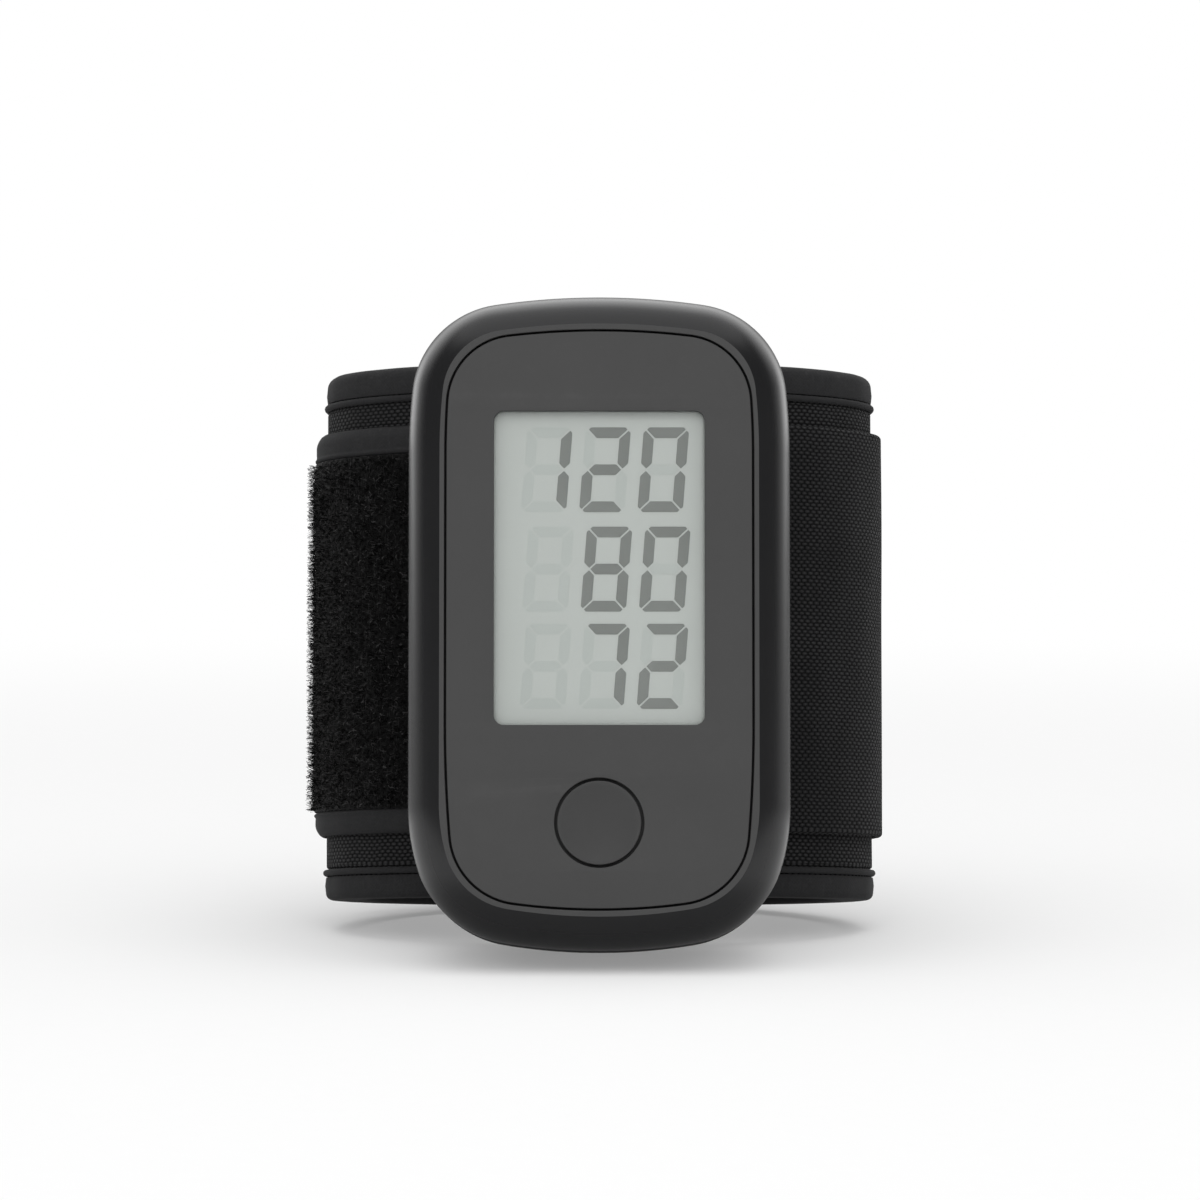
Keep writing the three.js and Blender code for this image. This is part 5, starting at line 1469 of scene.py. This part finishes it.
def buildCells():
    # steel cans with rolled ends and a jacket; the second cell stands the other way up
    radius, nub, foot, top, sides = cell["radius"], cell["nub"], cell["foot"], cell["top"], cell["sides"]
    jacketFoot, jacketTop, shoulder = cell["jacketFoot"], cell["jacketTop"], cell["shoulder"]
    profile = [(radius - 0.8, foot), (radius - 0.4, foot + 0.06), (radius - 0.1, foot + 0.3)]
    profile += [(radius - 0.03, jacketFoot), (radius, jacketFoot + 0.1), (radius, jacketTop)]
    profile += [(radius - 0.04, jacketTop + 0.1), (radius - 0.2, shoulder - 0.12), (radius - 0.5, shoulder)]
    profile += [(nub + 0.3, shoulder), (nub, shoulder + 0.2), (nub, top - 0.15), (nub - 0.15, top - 0.03)]
    profile += [(nub - 0.5, top)]
    for number, end in ((1, 1), (2, -1)):
        middle = middleOf("battery_%d" % number)
        rings = []
        for r, height in profile[::end]:
            circle = circleOutline(r, middle.x, middle.y, sides=sides)
            rings.append([(x, y, middle.z + end * height) for x, y in circle])
        points, faces = loft(rings)
        jacket = cell["jacketRow"] if end > 0 else len(profile) - 2 - cell["jacketRow"]
        kinds = [0 if i // sides == jacket else 1 for i in range(len(faces))]
        can = addMesh("cell%d" % number, points, faces, ["cellJacket", "brightSteel"], faceFinish=kinds, sharp=40)
        fitPiece(can, "monitor", "cell", "battery_%d" % number)


def screwMesh(size, x, z):
    # pan head and threaded shank; the face is the side that the driver meets
    radius, head, face, back, tip = size["radius"], size["head"], size["face"], size["headBack"], size["tip"]
    way = 1 if face > tip else -1
    depth, dome = abs(face - back), screwShape["dome"]
    profile = [(0, face - way * depth * screwShape["dish"])]
    for a in quarterAngles(5, first=1):
        profile.append((head * math.sin(a), face - way * depth * dome * (1 - math.cos(a))))
    profile += [(head, back), (radius, back)]
    length = abs(back - tip)
    count = max(2, int(length / screwShape["pitch"]))
    for i in range(count):
        y = back - way * length * (i + 0.25) / count
        profile += [(radius * screwShape["core"], y), (radius, y - way * length * 0.4 / count)]
    profile += [(radius * 0.5, tip), (0, tip)]
    return turnedMesh(profile, x, z, screwShape["sides"]), way


def buildScrews():
    for kind, size in screws.items():
        for number, (x, z) in enumerate(size["places"], 1):
            (points, faces), way = screwMesh(size, x, z)
            screw = addMesh("%sScrew%d" % (kind, number), points, faces, "brightSteel", sharp=40)
            slot, face = size["head"] * screwShape["slot"], size["face"]
            narrow = slot * screwShape["slotWidth"]
            spans = sorted((face + way * screwShape["above"], face - way * screwShape["slotDepth"]))
            arms = ((slot, narrow), (narrow, slot))
            tools = [boxTool((x - wide, x + wide), spans, (z - tall, z + tall)) for wide, tall in arms]
            applyTools(screw, tools, sharp=40)
            fitPiece(screw, "monitor", "steel", "%s_screw_%d" % (kind, number))


# the CAD nodes that keep their own shape, by the finish that they get
keptNodes = {
    "displayGlass": ("lcd_rear_glass",),
    "whiteMoulding": ("lcd_reflector", "lcd_frame", "switch_plunger", "pump_head", "air_manifold"),
    "zebraRubber": ("lcd_connector_upper", "lcd_connector_lower"),
    # the cuff stiffener takes the black finish as painted shade, so that it looks dark where it shows through
    # gaps in the cuff
    "blackMoulding": (
        "switch_body", "pressure_sensor", "buzzer", "battery_tray", "release_valve", "cuff_stiffener",
    ),
    "boardGreen": ("circuit_board",),
    "brightSteel": ("battery_contact_1", "battery_contact_2", "pump_motor"),
}


def finishKeptNodes():
    for finish, names in keptNodes.items():
        for name in names:
            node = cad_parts[name]
            if not node.material_slots:
                node.data.materials.append(None)
            for slot in node.material_slots:
                slot.material = finishes[finish]


buildHoses()
buildSprings()
buildCells()
buildScrews()
finishKeptNodes()
print("inner pieces built")


# Floor, lights and camera

studio = {
    "floorTone": tone(241, 241, 241), "floorReach": 4.0, "paperScale": 300.0, "paperShade": 0.99,
    "white": (0.16, 0.55), "bounce": 0.75, "mirrorFloorShade": 0.33, "mirrorFloorAsideShade": 1.0,
    "mirrorAside": (0.022, 0.055), "mirrorNear": (0.06, 0.16),
}
# ranges are of the direction's x, y or z: y is -1 in front of the part and 1 behind it
air = {
    "behind": 0.51, "inFront": 0.4, "turn": (0.3, -0.9),
    "highInFront": 0.61, "high": (0.2, 0.6), "front": (0.0, -0.5),
    "mirrorSide": 1.0, "side": (0.32, 0.6), "middleShare": 0.3, "mirrorGlow": 1.35, "glow": (0.5, 0.72),
    "glowEnd": (0.86, 0.96), "mirrorBehind": 2.1, "rise": (0.2, 0.55), "back": (0.02, 0.66),
    "mirrorAbove": 1.2, "ceiling": (0.66, 0.86), "mirrorFront": 0.05,
}
lamps = {
    "topLamp": {"place": (0.0, 0.05, 0.9), "target": (0, 0, 0.05), "size": 0.7, "power": 0.7},
    "frontLamp": {"place": (0.0, -1.1, 0.7), "target": (0, 0, 0.05), "size": 0.9, "power": 5.5},
    "floorLamp": {"place": (0.0, -0.3, 1.2), "target": (0, -0.03, 0), "size": 1.4, "power": 9.0},
}
view = {
    "place": (0.000837, -0.808626, 0.101857), "pitch": -4.0,
    "lens": 180.05, "sensor": 36.0, "clip": (0.05, 20),
}


def isSeen(tree):
    # camera and glass rays see the white background itself
    path = addNode(tree, "LightPath").outputs
    return mathNode(tree, "MAXIMUM", path["Is Camera Ray"], path["Is Transmission Ray"]), path


def paintPaper(finish):
    # pale paper that fades to white far away; mirrors meet a floor darkened as painted shade, except to the sides
    # of the part, and other surfaces meet a darker floor for bounce light
    tree = emptyTree(finish)
    pale, place = studio["floorTone"], objectPlace(tree)
    split = splitVector(tree, place)
    seen, path = isSeen(tree)
    grain = noiseNode(tree, place, studio["paperScale"])
    paint = mixColours(tree, grain, shaded(pale, studio["paperShade"]), pale)
    aside = fade(tree, mathNode(tree, "ABSOLUTE", split["X"]), *studio["mirrorAside"])
    near = fade(tree, split["Y"], *studio["mirrorNear"], toLow=1.0, toHigh=0.0)
    # painted shade in reflections: mirrors see the floor at a third of its tone, but at full tone to either side
    # of the part and not far behind it
    mirrored = shaded(pale, studio["mirrorFloorShade"]), shaded(pale, studio["mirrorFloorAsideShade"])
    mirrored = mixColours(tree, mathNode(tree, "MULTIPLY", aside, near), *mirrored)
    paint = mixColours(tree, path["Is Glossy Ray"], paint, mirrored)
    paint = mixColours(tree, path["Is Diffuse Ray"], paint, shaded(pale, studio["bounce"]))
    paper = addNode(tree, "BsdfDiffuse", {"Color": paint}).outputs[0]
    white = addNode(tree, "Emission", {"Strength": 1.0}).outputs[0]
    distance = addNode(tree, "VectorMath", {0: place}, operation="LENGTH").outputs["Value"]
    amount = mathNode(tree, "MULTIPLY", fade(tree, distance, *studio["white"]), seen)
    mix = addNode(tree, "MixShader", {0: amount, 1: paper, 2: white}).outputs[0]
    addNode(tree, "OutputMaterial", {"Surface": mix})


def buildFloor():
    reach = studio["floorReach"]
    mesh = bpy.data.meshes.new("studioFloor")
    corners = [(-reach, -reach, 0), (reach, -reach, 0), (reach, reach, 0), (-reach, reach, 0)]
    mesh.from_pydata(corners, [], [(0, 1, 2, 3)])
    mesh.materials.append(bpy.data.materials.new("floorPaper"))
    paintPaper(mesh.materials[0])
    floor = addObject("studioFloor", mesh)
    return floor


def buildWorld():
    # light comes mostly from the front; mirror rays meet a dark room in front,
    # a bright ceiling and bright walls behind to the left and right
    world = bpy.data.worlds.new("studioAir")
    bpy.context.scene.world = world
    tree = emptyTree(world)
    seen, path = isSeen(tree)
    x, y, z = splitVector(tree, addNode(tree, "TexCoord").outputs["Generated"])
    soft = fade(tree, y, *air["turn"], air["behind"], air["inFront"])
    high = mathNode(tree, "MULTIPLY", fade(tree, z, *air["high"]), fade(tree, y, *air["front"]))
    soft = mathNode(tree, "MULTIPLY_ADD", high, air["highInFront"], soft)
    side = air["mirrorSide"]
    aside = fade(tree, mathNode(tree, "ABSOLUTE", x), *air["side"], air["middleShare"] * side, side)
    glow = fade(tree, y, *air["glow"], 0.0, air["mirrorGlow"])
    glow = mathNode(tree, "MULTIPLY", glow, fade(tree, y, *air["glowEnd"], 1.0, 0.0))
    aside = mathNode(tree, "MULTIPLY", aside, mathNode(tree, "ADD", glow, 1.0))
    wall = rangeNode(tree, fade(tree, z, *air["rise"]), 0.0, 1.0, aside, air["mirrorBehind"])
    ceiling = fade(tree, z, *air["ceiling"], 0.0, air["mirrorAbove"])
    mirror = mathNode(tree, "MAXIMUM", mathNode(tree, "MULTIPLY", wall, fade(tree, y, *air["back"])), ceiling)
    mirror = mathNode(tree, "MAXIMUM", mirror, air["mirrorFront"])
    change = mathNode(tree, "SUBTRACT", mirror, soft)
    unseen = mathNode(tree, "MULTIPLY_ADD", path["Is Glossy Ray"], change, soft)
    strength = mathNode(tree, "MULTIPLY_ADD", seen, mathNode(tree, "SUBTRACT", 1.0, unseen), unseen)
    sky = addNode(tree, "Background", {"Color": (1.0, 1.0, 1.0, 1.0), "Strength": strength})
    addNode(tree, "OutputWorld", {"Surface": sky.outputs[0]})


def addLamp(name, only=None, spare=None):
    # only: the one object that it lights and that blocks it; spare: the object that it leaves out
    data = bpy.data.lights.new(name, "AREA")
    data.shape = "SQUARE"
    data.size = lamps[name]["size"]
    data.energy = lamps[name]["power"]
    place, target = Vector(lamps[name]["place"]), Vector(lamps[name]["target"])
    lamp = addObject(name, data)
    lamp.location = place
    lamp.rotation_euler = (target - place).to_track_quat("-Z", "Y").to_euler()
    lamp.visible_camera = False
    lamp.visible_glossy = False
    if only:
        lit = bpy.data.collections.new(name + "Lights")
        lit.objects.link(only)
        lamp.light_linking.receiver_collection = lit
        lamp.light_linking.blocker_collection = lit
    if spare:
        unlit = bpy.data.collections.new(name + "Spares")
        unlit.objects.link(spare)
        unlit.collection_objects[0].light_linking.link_state = "EXCLUDE"
        lamp.light_linking.receiver_collection = unlit


def buildCamera():
    data = bpy.data.cameras.new("camera")
    data.lens = view["lens"]
    data.sensor_width = view["sensor"]
    data.clip_start, data.clip_end = view["clip"]
    camera = addObject("camera", data)
    camera.location = view["place"]
    camera.rotation_euler = (math.radians(90 + view["pitch"]), 0, 0)
    bpy.context.scene.camera = camera


floor = buildFloor()
buildWorld()
addLamp("topLamp")
addLamp("frontLamp", spare=floor)
addLamp("floorLamp", only=floor)
buildCamera()
bpy.context.scene.view_settings.view_transform = "Standard"
print("studio built")
